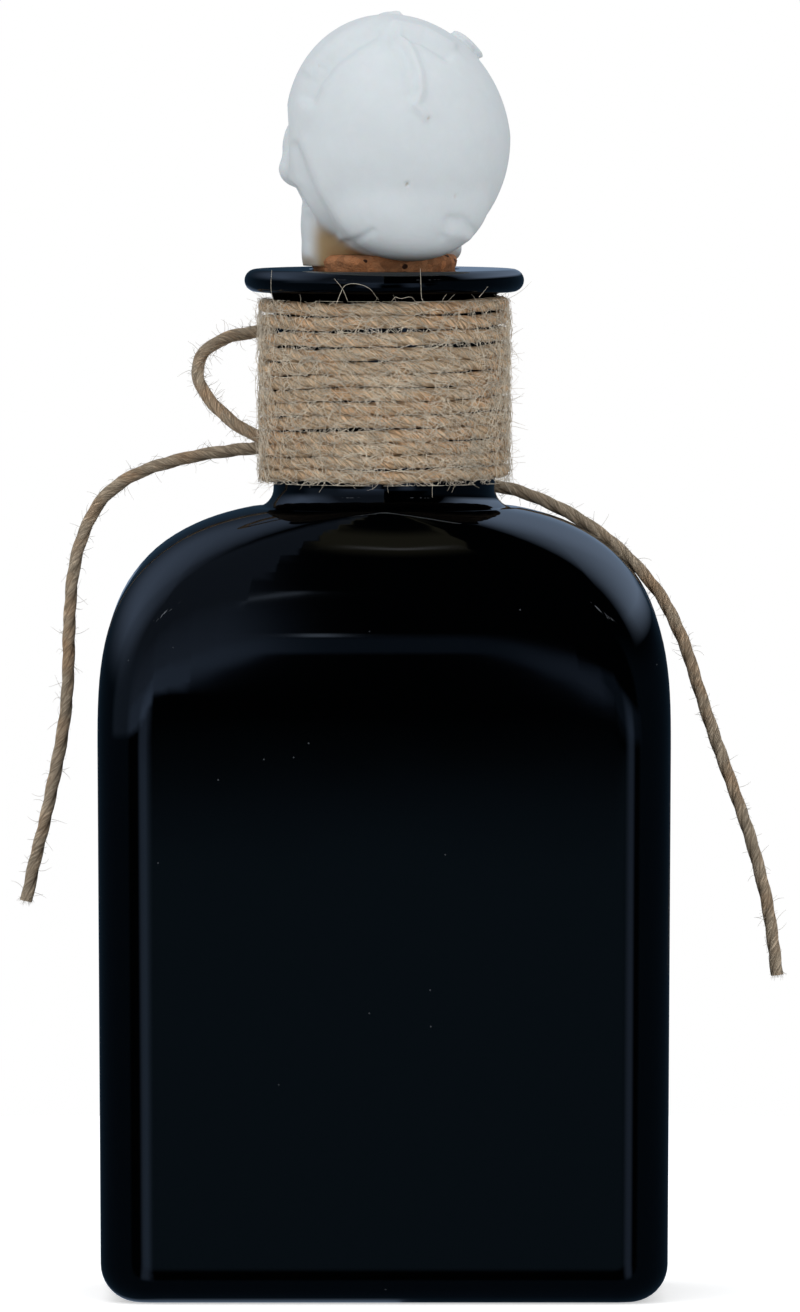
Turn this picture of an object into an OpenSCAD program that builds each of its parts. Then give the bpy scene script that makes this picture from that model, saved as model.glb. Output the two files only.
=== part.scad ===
// Flat-sided black glass bottle with a cork stopper that carries a cast skull, and
// a jute twine wound round its neck, with one small loop and two hanging ends.
// The bottle stands on the plane z = 0, its neck is the Z axis, and its plain back
// faces -Y. The skull looks the other way, turned a little towards -X.

/* [Body] */
// Width of the glass body at the shoulder
body_w = 90.6; // [76:0.2:110]
// How much narrower the body is at its foot
foot_taper = 1; // [0:0.1:3]
// Depth of the glass body, front to back
body_d = 58; // [50:0.5:74]
// Radius of the four upright corners
corner_r = 8; // [5:0.5:14]
// Radius of the edge round the base
base_r = 6; // [3:0.5:9]
// Thickness of the upright walls
wall_t = 3.2; // [2:0.1:5]
// Thickness of the glass under the cavity
floor_t = 6; // [4.5:0.1:9]
// Radius of the pushed-up hollow under the base
punt_r = 17; // [10:0.5:18]
// Height of the pushed-up hollow under the base
punt_h = 1.8; // [0.8:0.1:2.5]

/* [Shoulder] */
// Height where the narrow sides start to curve inwards
side_curve_z = 88; // [70:1:95]
// Height where the wide faces start to curve inwards
face_curve_z = 93; // [75:1:100]
// Height of the flat top of the shoulder, where the neck starts
shoulder_z = 125; // [115:0.5:135]
// Fullness of the shoulder curve, 2 is an ellipse
shoulder_fullness = 3; // [2.4:0.1:3.6]
// Thickness of the glass under the top of the shoulder
shoulder_t = 3.8; // [2.5:0.1:5]

/* [Neck and lip] */
// Outside radius of the neck
neck_r = 17.6; // [16:0.1:19]
// Radius of the curve between shoulder and neck
neck_fillet = 3; // [1.5:0.1:4]
// Height from the shoulder to the top of the lip
neck_h = 37.8; // [36:0.1:46]
// Outside radius of the lip
lip_r = 22.2; // [20.5:0.1:25]
// Thickness of the lip, whose edge is a full round
lip_t = 3.6; // [2.4:0.1:4.4]
// Radius of the bore below the stopper
bore_r = 10; // [8:0.1:10.4]

/* [Stopper] */
// Radius of the cork at its top
cork_top_r = 11.2; // [10.8:0.1:12]
// How much the radius of the cork shrinks over its length
cork_taper = 0.9; // [0.5:0.1:1.2]
// Length of the cork inside the neck
cork_in = 24; // [15:0.5:28]
// Height of cork that shows above the lip
cork_out = 2.4; // [1.5:0.1:4]
// Gap all round between the cork and the glass
cork_gap = 0.08; // [0.03:0.01:0.1]
// Gap all round between the cork and the socket in the skull
glue_gap = 0.05; // [0.02:0.01:0.1]

/* [Skull] */
// Width of the cranium
skull_w = 35.4; // [30:0.2:44]
// Length of the cranium, front to back
skull_l = 41; // [36:0.5:52]
// Height of the cranium
skull_h = 39.6; // [34:0.2:48]
// Turn of the face away from the far side, towards -X
skull_turn = 15; // [-40:1:40]
// Gap between the lip and the underside of the jaw
jaw_gap = 0.6; // [0.4:0.1:1.4]

/* [Twine] */
// Radius of the free twine
twine_r = 1; // [0.7:0.05:1.2]
// Room that a turn takes beyond its own thickness
turn_spare = 0.1; // [0:0.02:0.3]
// Gap left between one turn and the next
turn_gap = 0.5; // [0.42:0.01:0.6]
// How flat the wound twine is pressed, 1 is round
pressed = 0.95; // [0.8:0.01:1]
// Height of the lowest turn above the shoulder
wrap_start = 4.3; // [4.2:0.1:6]
// Space from the highest turn to the underside of the lip
wrap_end = 1.9; // [1.2:0.1:3]

/* [Hidden] */
$fn = 96;

glass_color = [0.02, 0.03, 0.04];
cork_color = [0.53, 0.40, 0.31];
skull_color = [0.83, 0.86, 0.87];
twine_color = [0.60, 0.52, 0.43];

// Heights that follow from the sizes above.
lip_z = shoulder_z + neck_h;
cork_top_z = lip_z + cork_out;
cork_bottom_z = lip_z - cork_in;
jaw_z = lip_z + jaw_gap;

// The shoulder ends in a small flat round the foot of the neck.
shoulder_flat = 0.6;
shoulder_r = neck_r + neck_fillet + shoulder_flat;
cavity_top_r = bore_r + 4;
corner_steps = 8;
base_steps = 5;
shoulder_steps = 15;

// A wall of rings closed by a flat cap at each end. Every ring runs anticlockwise
// seen from the end that the rings climb towards.
module skin(rings) {
    n = len(rings[0]);
    m = len(rings);
    sides = [for (j = [0 : m - 2], i = [0 : n - 1])
        let (k = (i + 1) % n)
        each [[j * n + i, (j + 1) * n + i, (j + 1) * n + k],
              [j * n + i, (j + 1) * n + k, j * n + k]]];
    first_cap = [for (i = [0 : n - 1]) i];
    last_cap = [for (i = [n - 1 : -1 : 0]) (m - 1) * n + i];
    polyhedron(points = [for (ring = rings) each ring],
               faces = concat([first_cap, last_cap], sides), convexity = 6);
}

// Rounded rectangle at height z: half sizes w and d, corner radius r.
function plan_ring(w, d, r, z) =
    [for (q = [0 : 3], i = [0 : corner_steps])
        let (a = 90 * (q + i / corner_steps),
             sx = (q == 0 || q == 3) ? 1 : -1,
             sy = q < 2 ? 1 : -1)
        [sx * (w - r) + r * cos(a), sy * (d - r) + r * sin(a), z]];

// Half size of the shoulder at height z. It is half_size up to start_z and comes in
// to top_r at top_z, along part of a superellipse.
function shoulder_half(z, half_size, start_z, top_r, top_z) =
    z <= start_z ? half_size :
    let (n = shoulder_fullness,
         rise = (top_z - start_z) / pow(1 - pow(top_r / half_size, n), 1 / n))
    half_size * pow(1 - pow((z - start_z) / rise, n), 1 / n);

// Closed flask shape without a neck, for the outside of the glass and its cavity.
module flask(half_w, half_d, corner, edge, bottom_z, top_r, top_z) {
    heights = concat(
        [for (i = [0 : base_steps]) bottom_z + edge * (1 - cos(90 * i / base_steps))],
        [for (i = [0 : shoulder_steps])
            side_curve_z + (top_z - side_curve_z) * sin(90 * i / shoulder_steps)]);
    skin([for (z = heights)
        let (up = min(1, (z - bottom_z) / edge),
             tuck = edge * (1 - sqrt(1 - pow(1 - up, 2))),
             narrowing = foot_taper / 2 * max(0, 1 - z / side_curve_z),
             w = shoulder_half(z, half_w, side_curve_z, top_r, top_z) - narrowing - tuck,
             d = shoulder_half(z, half_d, face_curve_z, top_r, top_z) - tuck,
             climb = max(0, (z - side_curve_z) / (top_z - side_curve_z)),
             r = corner + (0.92 * top_r - corner) * pow(climb, 2))
        plan_ring(w, d, max(r - tuck, 1.5), z)]);
}

// Neck and lip as one revolve: foot curve, straight neck and full round edge.
module neck_outside() {
    nose = lip_t / 2;
    foot_z = shoulder_z + neck_fillet;
    rotate_extrude()
        polygon(concat(
            [[0, shoulder_z - 3], [neck_r + neck_fillet - 0.1, shoulder_z - 3]],
            [for (a = [260 : -10 : 180])
                [neck_r + neck_fillet + neck_fillet * cos(a), foot_z + neck_fillet * sin(a)]],
            [[neck_r, lip_z - lip_t - 1], [neck_r + 1, lip_z - lip_t]],
            [for (a = [-90 : 10 : 90])
                [lip_r - nose + nose * cos(a), lip_z - nose + nose * sin(a)]],
            [[0, lip_z]]));
}

// Way through the neck: a plain bore, then a seat that follows the cork's taper.
function cork_r_at(z) = cork_top_r - cork_taper * (cork_top_z - z) / (cork_out + cork_in);

module neck_inside() {
    mouth_round = 0.8;
    mouth_r = cork_r_at(lip_z) + cork_gap;
    rotate_extrude()
        polygon([[0, shoulder_z - shoulder_t - 3],
                 [bore_r, shoulder_z - shoulder_t - 3],
                 [bore_r, cork_bottom_z - 1.5],
                 [cork_r_at(cork_bottom_z) + cork_gap, cork_bottom_z - 0.5],
                 [cork_r_at(lip_z - mouth_round) + cork_gap, lip_z - mouth_round],
                 [mouth_r + 0.25 * mouth_round, lip_z - 0.25 * mouth_round],
                 [mouth_r + mouth_round, lip_z + 0.01],
                 [0, lip_z + 0.01]]);
}

module punt() {
    ball_r = (punt_r * punt_r + punt_h * punt_h) / (2 * punt_h);
    rotate_extrude()
        polygon(concat([[0, -1], [punt_r, -1]],
            [for (i = [8 : -1 : 0])
                let (x = punt_r * i / 8)
                [x, punt_h - ball_r + sqrt(ball_r * ball_r - x * x)]]));
}

module bottle() {
    color(glass_color)
    difference() {
        union() {
            flask(body_w / 2, body_d / 2, corner_r, base_r, 0, shoulder_r, shoulder_z);
            neck_outside();
        }
        flask(body_w / 2 - wall_t, body_d / 2 - wall_t, corner_r - wall_t + 1, base_r,
              floor_t, cavity_top_r, shoulder_z - shoulder_t);
        neck_inside();
        punt();
    }
}

module cork() {
    chamfer = 0.8;
    foot_r = cork_r_at(cork_bottom_z);
    color(cork_color)
    rotate_extrude()
        polygon([[0, cork_bottom_z],
                 [foot_r - chamfer, cork_bottom_z],
                 [foot_r, cork_bottom_z + chamfer],
                 [cork_top_r, cork_top_z],
                 [0, cork_top_z]]);
}

// The skull is worked out level by level in its own frame: face towards +Y, x to its
// side, and z from the middle of the cranium. On each level a ray leaves an upright
// axis inside the head, and the lobes that it crosses are blended into one outline.
skull_columns = 88;
skull_levels = 42;
skull_mid_z = jaw_z + 0.4 + skull_h / 2;
skull_base = jaw_z - skull_mid_z;
skull_back = 4;
skull_side = 1.9;
sx = skull_w / 35.4;
sy = skull_l / 41;
sz = skull_h / 39.6;

// The axis stands over the jaw and leans back towards the crown.
function axis_y(z) = let (t = max(0, z / (skull_h / 2))) (4 - 5 * t) * sy;

// Each lobe is an ellipsoid: its centre, then its half sizes. Those with x above
// zero are made again on the other side.
middle_lobes = [
    // cranium
    [[0, -1 * sy, 0], [skull_w / 2, skull_l / 2, skull_h / 2]],
    // forehead
    [[0, 6 * sy, 5 * sz], [13.5 * sx, 14 * sy, 13 * sz]],
    // back of the head
    [[0, -12 * sy, -6 * sz], [12 * sx, 9.5 * sy, 11 * sz]],
    // bridge of the nose
    [[0, 17.2 * sy, -2 * sz], [2.6 * sx, 3.4 * sy, 5 * sz]],
    // upper jaw with its teeth
    [[0, 9.5 * sy, -13.5 * sz], [9.6 * sx, 10.6 * sy, 5.2 * sz]],
    // lower jaw, wide at the back
    [[0, 6.6 * sy, -12 * sz], [13.5 * sx, 12 * sy, 22 * sz]],
    // chin
    [[0, 10.5 * sy, -19 * sz], [7.5 * sx, 9.2 * sy, 3.8 * sz]]];
side_lobes = [
    // brow
    [[6.2 * sx, 13.4 * sy, 3.8 * sz], [5.8 * sx, 5.2 * sy, 3.4 * sz]],
    // cheekbone
    [[11.4 * sx, 10.6 * sy, -4.2 * sz], [4.9 * sx, 5.8 * sy, 4.6 * sz]],
    // arch from the cheekbone to the ear
    [[14.6 * sx, 4 * sy, -4.8 * sz], [2.2 * sx, 9 * sy, 2.4 * sz]],
    // lump behind the ear
    [[12.2 * sx, -4 * sy, -13 * sz], [3 * sx, 4 * sy, 4 * sz]]];
lobes = concat(middle_lobes, side_lobes,
    [for (lobe = side_lobes) [[-lobe[0].x, lobe[0].y, lobe[0].z], lobe[1]]]);

// Hollows of the face: across, height, half width, half height and depth.
hollows = [
    // eye sockets
    [6.7 * sx, -1.4 * sz, 5.1 * sx, 4.8 * sz, 6 * sy],
    // pear-shaped nose opening, wide below
    [1.3 * sx, -9.2 * sz, 2.4 * sx, 2.3 * sz, 2.6 * sy],
    [0, -7.4 * sz, 2 * sx, 4 * sz, 2.6 * sy],
    // hollow cheeks under the cheekbones
    [11.4 * sx, -12 * sz, 3.4 * sx, 4 * sz, 2 * sy]];
temple_depth = 1.8;
bite_z = -15.6 * sz;
tooth_row_h = 2.6 * sz;
tooth_w = 2.3 * sx;
tooth_depth = 0.55;

function smooth(t) = let (c = max(0, min(1, t))) c * c * (3 - 2 * c);

// Distance from the axis at height z to the far side of a lobe, in direction a.
function lobe_reach(lobe, a, z) =
    let (c = lobe[0], s = lobe[1],
         ox = -c.x / s.x, oy = (axis_y(z) - c.y) / s.y, oz = (z - c.z) / s.z,
         dx = sin(a) / s.x, dy = cos(a) / s.y,
         qa = dx * dx + dy * dy,
         qb = ox * dx + oy * dy,
         qc = ox * ox + oy * oy + oz * oz - 1,
         root = qb * qb - qa * qc)
    root <= 0 ? 0 : max(0, (sqrt(root) - qb) / qa);

function blended_reach(a, z) =
    let (sharpness = 10,
         all_reaches = [for (lobe = lobes) lobe_reach(lobe, a, z)],
         longest = max(all_reaches),
         total = sum_of([for (t = all_reaches) pow(t / longest, sharpness)]))
    longest * pow(total, 1 / sharpness);

function sum_of(list, i = 0) = i < len(list) ? list[i] + sum_of(list, i + 1) : 0;

// Depth of the hollows and the gaps between the teeth at a point of the face.
function face_depth(x, z) =
    sum_of([for (h = hollows)
        h[4] * smooth(1.15 * (1 - pow((abs(x) - h[0]) / h[2], 2) - pow((z - h[1]) / h[3], 2)))]);

function teeth_depth(x, z) =
    let (row = smooth(2 * (1 - abs(z - bite_z) / tooth_row_h)),
         bite = smooth(1 - abs(z - bite_z) / (0.8 * sz)),
         gap = pow(abs(cos(180 * x / tooth_w)), 6),
         inside = smooth(4 - abs(x) / (2.2 * sx)))
    tooth_depth * inside * (row * gap + 1.6 * bite);

function temple(y, z) =
    temple_depth * smooth(0.9 * (1 - pow((y - 9 * sy) / (8 * sy), 2)
                                   - pow((z - 1.5 * sz) / (9 * sz), 2)));

function skull_point(a, z) =
    let (reach = blended_reach(a, z),
         x = reach * sin(a), y = axis_y(z) + reach * cos(a),
         front = smooth(2.2 * cos(a)),
         side = smooth(2 * abs(sin(a))),
         cut = front * (face_depth(x, z) + teeth_depth(x, z)) + side * temple(y, z),
         kept = max(reach - cut, 0.4))
    [kept * sin(a), axis_y(z) + kept * cos(a), z];

// Columns stand closer together across the face.
function column_angle(i) =
    let (u = -360 * i / skull_columns) u - 25 * sin(u);

module skull() {
    top = 0.997 * skull_h / 2;
    levels = [for (j = [0 : skull_levels])
        let (t = j / skull_levels)
        skull_base + (top - skull_base) * (0.82 * t + 0.18 * (1 - cos(180 * t)) / 2)
                   + 0.09 * (top - skull_base) * sin(180 * t) * t];
    color(skull_color)
    difference() {
        translate([skull_side, -skull_back, skull_mid_z])
            rotate([0, 0, skull_turn])
                skin([for (z = levels)
                    [for (i = [0 : skull_columns - 1]) skull_point(column_angle(i), z)]]);
        translate([0, 0, jaw_z - 5])
            cylinder(r = cork_top_r + glue_gap, h = cork_top_z - jaw_z + 5);
    }
}

// Wound twine: one tube of six sides with 24 rings to a turn. It starts and ends
// with a straight run along the back of the neck. As many turns as the twine's
// thickness allows fill the neck from the shoulder to the lip.
rings_per_turn = 24;
wound_sides = 6;
wrap_h = neck_h - lip_t - wrap_start - wrap_end;
turns = floor(wrap_h / (2 * twine_r + turn_spare));
pitch = wrap_h / turns;
wound_half_h = (pitch - turn_gap) / (2 * sin(60));
wound_half_t = pressed * twine_r;
chord_sink = 1 / cos(180 / rings_per_turn);
wrap_r = (neck_r + 0.05) * chord_sink + wound_half_t;
wrap_z = shoulder_z + wrap_start;
run_out = 2 * twine_r;

function wound_ring(centre, outward) =
    [for (s = [0 : wound_sides - 1])
        let (a = 360 * s / wound_sides)
        centre + wound_half_t * cos(a) * outward - [0, 0, wound_half_h * sin(a)]];

function wrap_rings() = concat(
    [wound_ring([run_out, wrap_r, wrap_z], [0, 1, 0])],
    [for (k = [0 : turns * rings_per_turn])
        let (a = 90 + 360 * k / rings_per_turn)
        wound_ring([wrap_r * cos(a), wrap_r * sin(a), wrap_z + pitch * k / rings_per_turn],
                   [cos(a), sin(a), 0])],
    [wound_ring([-run_out, wrap_r, wrap_z + pitch * turns], [0, 1, 0])]);

// Least distance between the points of one turn and those of the next.
function winding_gap(rings) =
    min([for (k = [0 : len(rings) - rings_per_turn - 2], p = rings[k],
              step = [rings_per_turn - 1 : rings_per_turn + 1],
              q = rings[k + step]) norm(p - q)]);

module twine_wrap() {
    rings = wrap_rings();
    echo(least_gap_between_turns_mm = winding_gap(rings));
    color(twine_color)
    skin(rings);
}

// Free twine: a ring of eight sides at each point of its route.
free_sides = 8;
loop_route = [
    [-16, 11.4, 152.6], [-18.6, 12.6, 152.6], [-21.6, 12.6, 152.3], [-24.6, 11.7, 151.7],
    [-27.2, 10.3, 150.5], [-29.1, 8.6, 148.7], [-29.7, 6.8, 146.3], [-29, 5.2, 143.8],
    [-27.3, 3.8, 141.4], [-24.9, 2.5, 139.1], [-22.2, 1.3, 137.2], [-19.4, 0.4, 135.9]];
tail_left_route = [
    [-17, 9.8, 134.3], [-19.5, 11.2, 134.1], [-24, 12.4, 133.6], [-29, 12.7, 132.9],
    [-33, 12.5, 132], [-36.6, 12, 131], [-40, 11.2, 129.6], [-43, 10.4, 127.7],
    [-45.5, 9.6, 125.1], [-47.3, 9, 121.8], [-48.7, 8.5, 118], [-49.6, 8, 113.5],
    [-50, 7.5, 108.8], [-50.2, 7, 104], [-50.3, 6.7, 98.5], [-50.7, 6.5, 92.5],
    [-51.6, 6.2, 86.5], [-52.8, 6, 80.5], [-54.1, 5.7, 74.5], [-55.6, 5.5, 68.5],
    [-57, 5.2, 62]];
tail_right_route = [
    [2, 18.75, 129.3], [6.5, 18.75, 129.3], [11.5, 18.6, 128.8], [16, 18.1, 128],
    [20.5, 17.3, 127.2], [25, 16.6, 125.6], [29, 16.3, 123.7], [32.5, 16.2, 121.6],
    [35.8, 16.2, 119.2], [38.8, 16.2, 116.5], [41.6, 15.6, 113.5], [44.3, 14.6, 110],
    [46.4, 13.4, 106], [48.1, 12.8, 102], [49.7, 12.4, 97], [51.3, 12, 92],
    [53, 11.6, 87], [54.8, 11.2, 82], [56.6, 10.8, 77], [58.3, 10.5, 72],
    [59.7, 10.3, 67], [60.9, 10.1, 62], [61.8, 9.9, 56.5], [62.6, 9.7, 50]];

function unit(v) = v / norm(v);

// Rings square to the route. Sides are counted from the direction of +Y.
function route_rings(route) =
    [for (i = [0 : len(route) - 1])
        let (along = unit(route[min(i + 1, len(route) - 1)] - route[max(i - 1, 0)]),
             to_back = unit([0, 1, 0] - along.y * along),
             across = cross(along, to_back))
        [for (s = [0 : free_sides - 1])
            let (a = 360 * s / free_sides)
            route[i] + twine_r * (cos(a) * to_back + sin(a) * across)]];

module free_twine(route) {
    color(twine_color)
    skin(route_rings(route));
}

module twine_loop() {
    free_twine(loop_route);
}

module twine_tail_left() {
    free_twine(tail_left_route);
}

module twine_tail_right() {
    free_twine(tail_right_route);
}

bottle();
cork();
skull();
twine_wrap();
twine_loop();
twine_tail_left();
twine_tail_right();
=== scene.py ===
"""Looks of a black glass poison bottle with a skull stopper and a twine-wound neck."""
import math
import random

import bmesh
import bpy
import numpy as np
from bpy.props import FloatProperty, FloatVectorProperty, IntProperty, PointerProperty
from mathutils import Matrix, Vector, noise


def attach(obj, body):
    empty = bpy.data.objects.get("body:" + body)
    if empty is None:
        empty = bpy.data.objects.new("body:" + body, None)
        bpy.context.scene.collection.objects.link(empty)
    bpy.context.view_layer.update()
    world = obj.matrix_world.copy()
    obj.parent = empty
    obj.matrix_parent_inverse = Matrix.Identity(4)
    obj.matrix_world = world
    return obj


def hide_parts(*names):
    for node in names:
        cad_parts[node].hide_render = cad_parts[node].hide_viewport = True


bl_info = {
    "name": "Poison Bottle",
    "version": (1, 0, 0),
    "blender": (4, 5, 0),
    "location": "3D View > Sidebar > Bottle",
    "description": "Black glass bottle, cast skull stopper and jute twine on its neck",
    "category": "Object",
}

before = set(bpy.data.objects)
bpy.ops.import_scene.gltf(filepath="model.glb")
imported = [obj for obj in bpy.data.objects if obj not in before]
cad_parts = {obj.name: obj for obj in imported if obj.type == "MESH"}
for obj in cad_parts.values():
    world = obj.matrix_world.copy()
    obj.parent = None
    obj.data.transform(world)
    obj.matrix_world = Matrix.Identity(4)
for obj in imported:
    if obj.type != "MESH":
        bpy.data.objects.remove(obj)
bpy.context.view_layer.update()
MM = 0.001


# Sizes that the pieces share with the frame, in metres.
BODY_HALF_W = 0.0453
BODY_HALF_D = 0.029
FOOT_TAPER = 0.001
CORNER_R = 0.008
BASE_R = 0.006
WALL = 0.0032
FLOOR_T = 0.006
PUNT_R = 0.017
PUNT_H = 0.0018
SIDE_CURVE_Z = 0.088
FACE_CURVE_Z = 0.093
SHOULDER_Z = 0.125
SHOULDER_R = 0.0212
SHOULDER_T = 0.0038
FULLNESS = 3.0
NECK_R = 0.0176
NECK_FILLET = 0.003
LIP_Z = 0.1628
LIP_R = 0.0222
LIP_T = 0.0036
BORE_R = 0.010
CORK_TOP_Z = 0.1652
CORK_BOTTOM_Z = 0.1388
CORK_TOP_R = 0.0112
CORK_TAPER = 0.0009
CORK_GAP = 0.00008
JAW_Z = 0.1634
SKULL_MID = Vector((0.0019, -0.004, 0.1836))
SKULL_TURN = math.radians(15)
TWINE_R = 0.001
WRAP_R = 0.01875
WRAP_Z = 0.1293
WRAP_TURNS = 13
WRAP_PITCH = 0.028 / WRAP_TURNS

LOOP_ROUTE = [
    (-.016, .0114, .1526), (-.0186, .0126, .1526), (-.0216, .0126, .1523),
    (-.0246, .0117, .1517), (-.0272, .0103, .1505), (-.0291, .0086, .1487),
    (-.0297, .0068, .1463), (-.029, .0052, .1438), (-.0273, .0038, .1414),
    (-.0249, .0025, .1391), (-.0222, .0013, .1372), (-.0194, .0004, .1359)]
TAIL_LEFT_ROUTE = [
    (-.017, .0098, .1343), (-.0195, .0112, .1341), (-.024, .0124, .1336),
    (-.029, .0127, .1329), (-.033, .0125, .132), (-.0366, .012, .131),
    (-.04, .0112, .1296), (-.043, .0104, .1277), (-.0455, .0096, .1251),
    (-.0473, .009, .1218), (-.0487, .0085, .118), (-.0496, .008, .1135),
    (-.05, .0075, .1088), (-.0502, .007, .104), (-.0503, .0067, .0985),
    (-.0507, .0065, .0925), (-.0516, .0062, .0865), (-.0528, .006, .0805),
    (-.0541, .0057, .0745), (-.0556, .0055, .0685), (-.057, .0052, .062)]
TAIL_RIGHT_ROUTE = [
    (.002, .01875, .1293), (.0065, .01875, .1293), (.0115, .0186, .1288),
    (.016, .0181, .128), (.0205, .0173, .1272), (.025, .0166, .1256),
    (.029, .0163, .1237), (.0325, .0162, .1216), (.0358, .0162, .1192),
    (.0388, .0162, .1165), (.0416, .0156, .1135), (.0443, .0146, .11),
    (.0464, .0134, .106), (.0481, .0128, .102), (.0497, .0124, .097),
    (.0513, .012, .092), (.053, .0116, .087), (.0548, .0112, .082),
    (.0566, .0108, .077), (.0583, .0105, .072), (.0597, .0103, .067),
    (.0609, .0101, .062), (.0618, .0099, .0565), (.0626, .0097, .05)]


def fresh_start():
    """Leave edit mode and deselect everything."""
    if bpy.context.object and bpy.context.object.mode != "OBJECT":
        bpy.ops.object.mode_set(mode="OBJECT")
    bpy.ops.object.select_all(action="DESELECT")


def make_active(piece):
    fresh_start()
    piece.select_set(True)
    bpy.context.view_layer.objects.active = piece


def named(piece, name):
    piece.name = name
    piece.data.name = name
    return piece


def dress(piece, material, body, slot, *nodes):
    """Give a finished piece its material, its body, and the CAD nodes it stands for."""
    piece.data.materials.clear()
    piece.data.materials.append(material)
    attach(piece, body)
    if nodes:
        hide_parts(*nodes)


def smooth_step(t):
    c = max(0.0, min(1.0, t))
    return c * c * (3 - 2 * c)


# Node helpers


def add_node(tree, kind, place, **values):
    made = tree.nodes.new(kind)
    made.location = place
    for key, value in values.items():
        if hasattr(made, key) and key not in made.inputs:
            setattr(made, key, value)
        else:
            made.inputs[key].default_value = value
    return made


def link(tree, source, target):
    tree.links.new(source, target)


def new_group(name, inputs, outputs):
    """Node group with float or colour inputs and outputs."""
    group = bpy.data.node_groups.new(name, "ShaderNodeTree")
    kinds = {"f": "NodeSocketFloat", "c": "NodeSocketColor", "v": "NodeSocketVector"}
    for label, kind, value in inputs:
        made = group.interface.new_socket(label, in_out="INPUT", socket_type=kinds[kind])
        if value is not None:
            made.default_value = value
    for label, kind in outputs:
        group.interface.new_socket(label, in_out="OUTPUT", socket_type=kinds[kind])
    start = group.nodes.new("NodeGroupInput")
    start.location = (-900, 0)
    end = group.nodes.new("NodeGroupOutput")
    end.location = (900, 0)
    return group, start, end


def use_group(tree, group, place, **values):
    made = tree.nodes.new("ShaderNodeGroup")
    made.node_tree = group
    made.location = place
    for key, value in values.items():
        made.inputs[key.replace("_", " ")].default_value = value
    return made


def new_material(name, **values):
    """Principled material with plain values on the shader's own sockets."""
    material = bpy.data.materials.new(name)
    material.use_nodes = True
    shader = material.node_tree.nodes["Principled BSDF"]
    for key, value in values.items():
        shader.inputs[key.replace("_", " ")].default_value = value
    return material, material.node_tree, shader


def map_range(tree, place, low, high, to_low=0.0, to_high=1.0):
    made = tree.nodes.new("ShaderNodeMapRange")
    made.location = place
    made.inputs["From Min"].default_value = low
    made.inputs["From Max"].default_value = high
    made.inputs["To Min"].default_value = to_low
    made.inputs["To Max"].default_value = to_high
    return made


def mix_colour(tree, place, blend="MIX"):
    made = tree.nodes.new("ShaderNodeMix")
    made.data_type = "RGBA"
    made.blend_type = blend
    made.location = place
    return made


MIX_FACTOR, MIX_A, MIX_B, MIX_OUT = 0, 6, 7, 2


def mottle_group():
    """Soft blotches of two sizes, from 0 to 1, on object coordinates."""
    group, start, end = new_group(
        "Soft Mottle", [("Scale", "f", 100.0), ("Fine Share", "f", 0.4)], [("Mask", "f")])
    place = add_node(group, "ShaderNodeTexCoord", (-900, 250))
    large = add_node(group, "ShaderNodeTexNoise", (-500, 200), Detail=4.0, Roughness=0.55)
    times = add_node(group, "ShaderNodeMath", (-700, -150), operation="MULTIPLY")
    times.inputs[1].default_value = 6.0
    fine = add_node(group, "ShaderNodeTexNoise", (-500, -150), Detail=3.0, Roughness=0.6)
    blend = add_node(group, "ShaderNodeMix", (0, 0))
    link(group, start.outputs["Scale"], large.inputs["Scale"])
    link(group, start.outputs["Scale"], times.inputs[0])
    link(group, times.outputs[0], fine.inputs["Scale"])
    for texture in (large, fine):
        link(group, place.outputs["Object"], texture.inputs["Vector"])
    link(group, start.outputs["Fine Share"], blend.inputs[0])
    link(group, large.outputs[0], blend.inputs[2])
    link(group, fine.outputs[0], blend.inputs[3])
    spread = map_range(group, (300, 0), 0.34, 0.66)
    link(group, blend.outputs[0], spread.inputs["Value"])
    link(group, spread.outputs["Result"], end.inputs["Mask"])
    return group


def speck_group():
    """Small round specks such as dust or pits, 1 inside a speck and 0 elsewhere."""
    group, start, end = new_group(
        "Specks", [("Scale", "f", 900.0), ("Amount", "f", 0.3), ("Size", "f", 0.12)],
        [("Mask", "f")])
    place = add_node(group, "ShaderNodeTexCoord", (-900, 250))
    cells = add_node(group, "ShaderNodeTexVoronoi", (-500, 100))
    chance = add_node(group, "ShaderNodeSeparateColor", (-250, -100))
    few = add_node(group, "ShaderNodeMath", (0, -100), operation="LESS_THAN")
    near = add_node(group, "ShaderNodeMath", (0, 120), operation="LESS_THAN")
    both = add_node(group, "ShaderNodeMath", (300, 0), operation="MULTIPLY")
    link(group, place.outputs["Object"], cells.inputs["Vector"])
    link(group, start.outputs["Scale"], cells.inputs["Scale"])
    link(group, cells.outputs["Color"], chance.inputs["Color"])
    link(group, chance.outputs[0], few.inputs[0])
    link(group, start.outputs["Amount"], few.inputs[1])
    link(group, cells.outputs["Distance"], near.inputs[0])
    link(group, start.outputs["Size"], near.inputs[1])
    link(group, few.outputs[0], both.inputs[0])
    link(group, near.outputs[0], both.inputs[1])
    link(group, both.outputs[0], end.inputs["Mask"])
    return group


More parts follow.
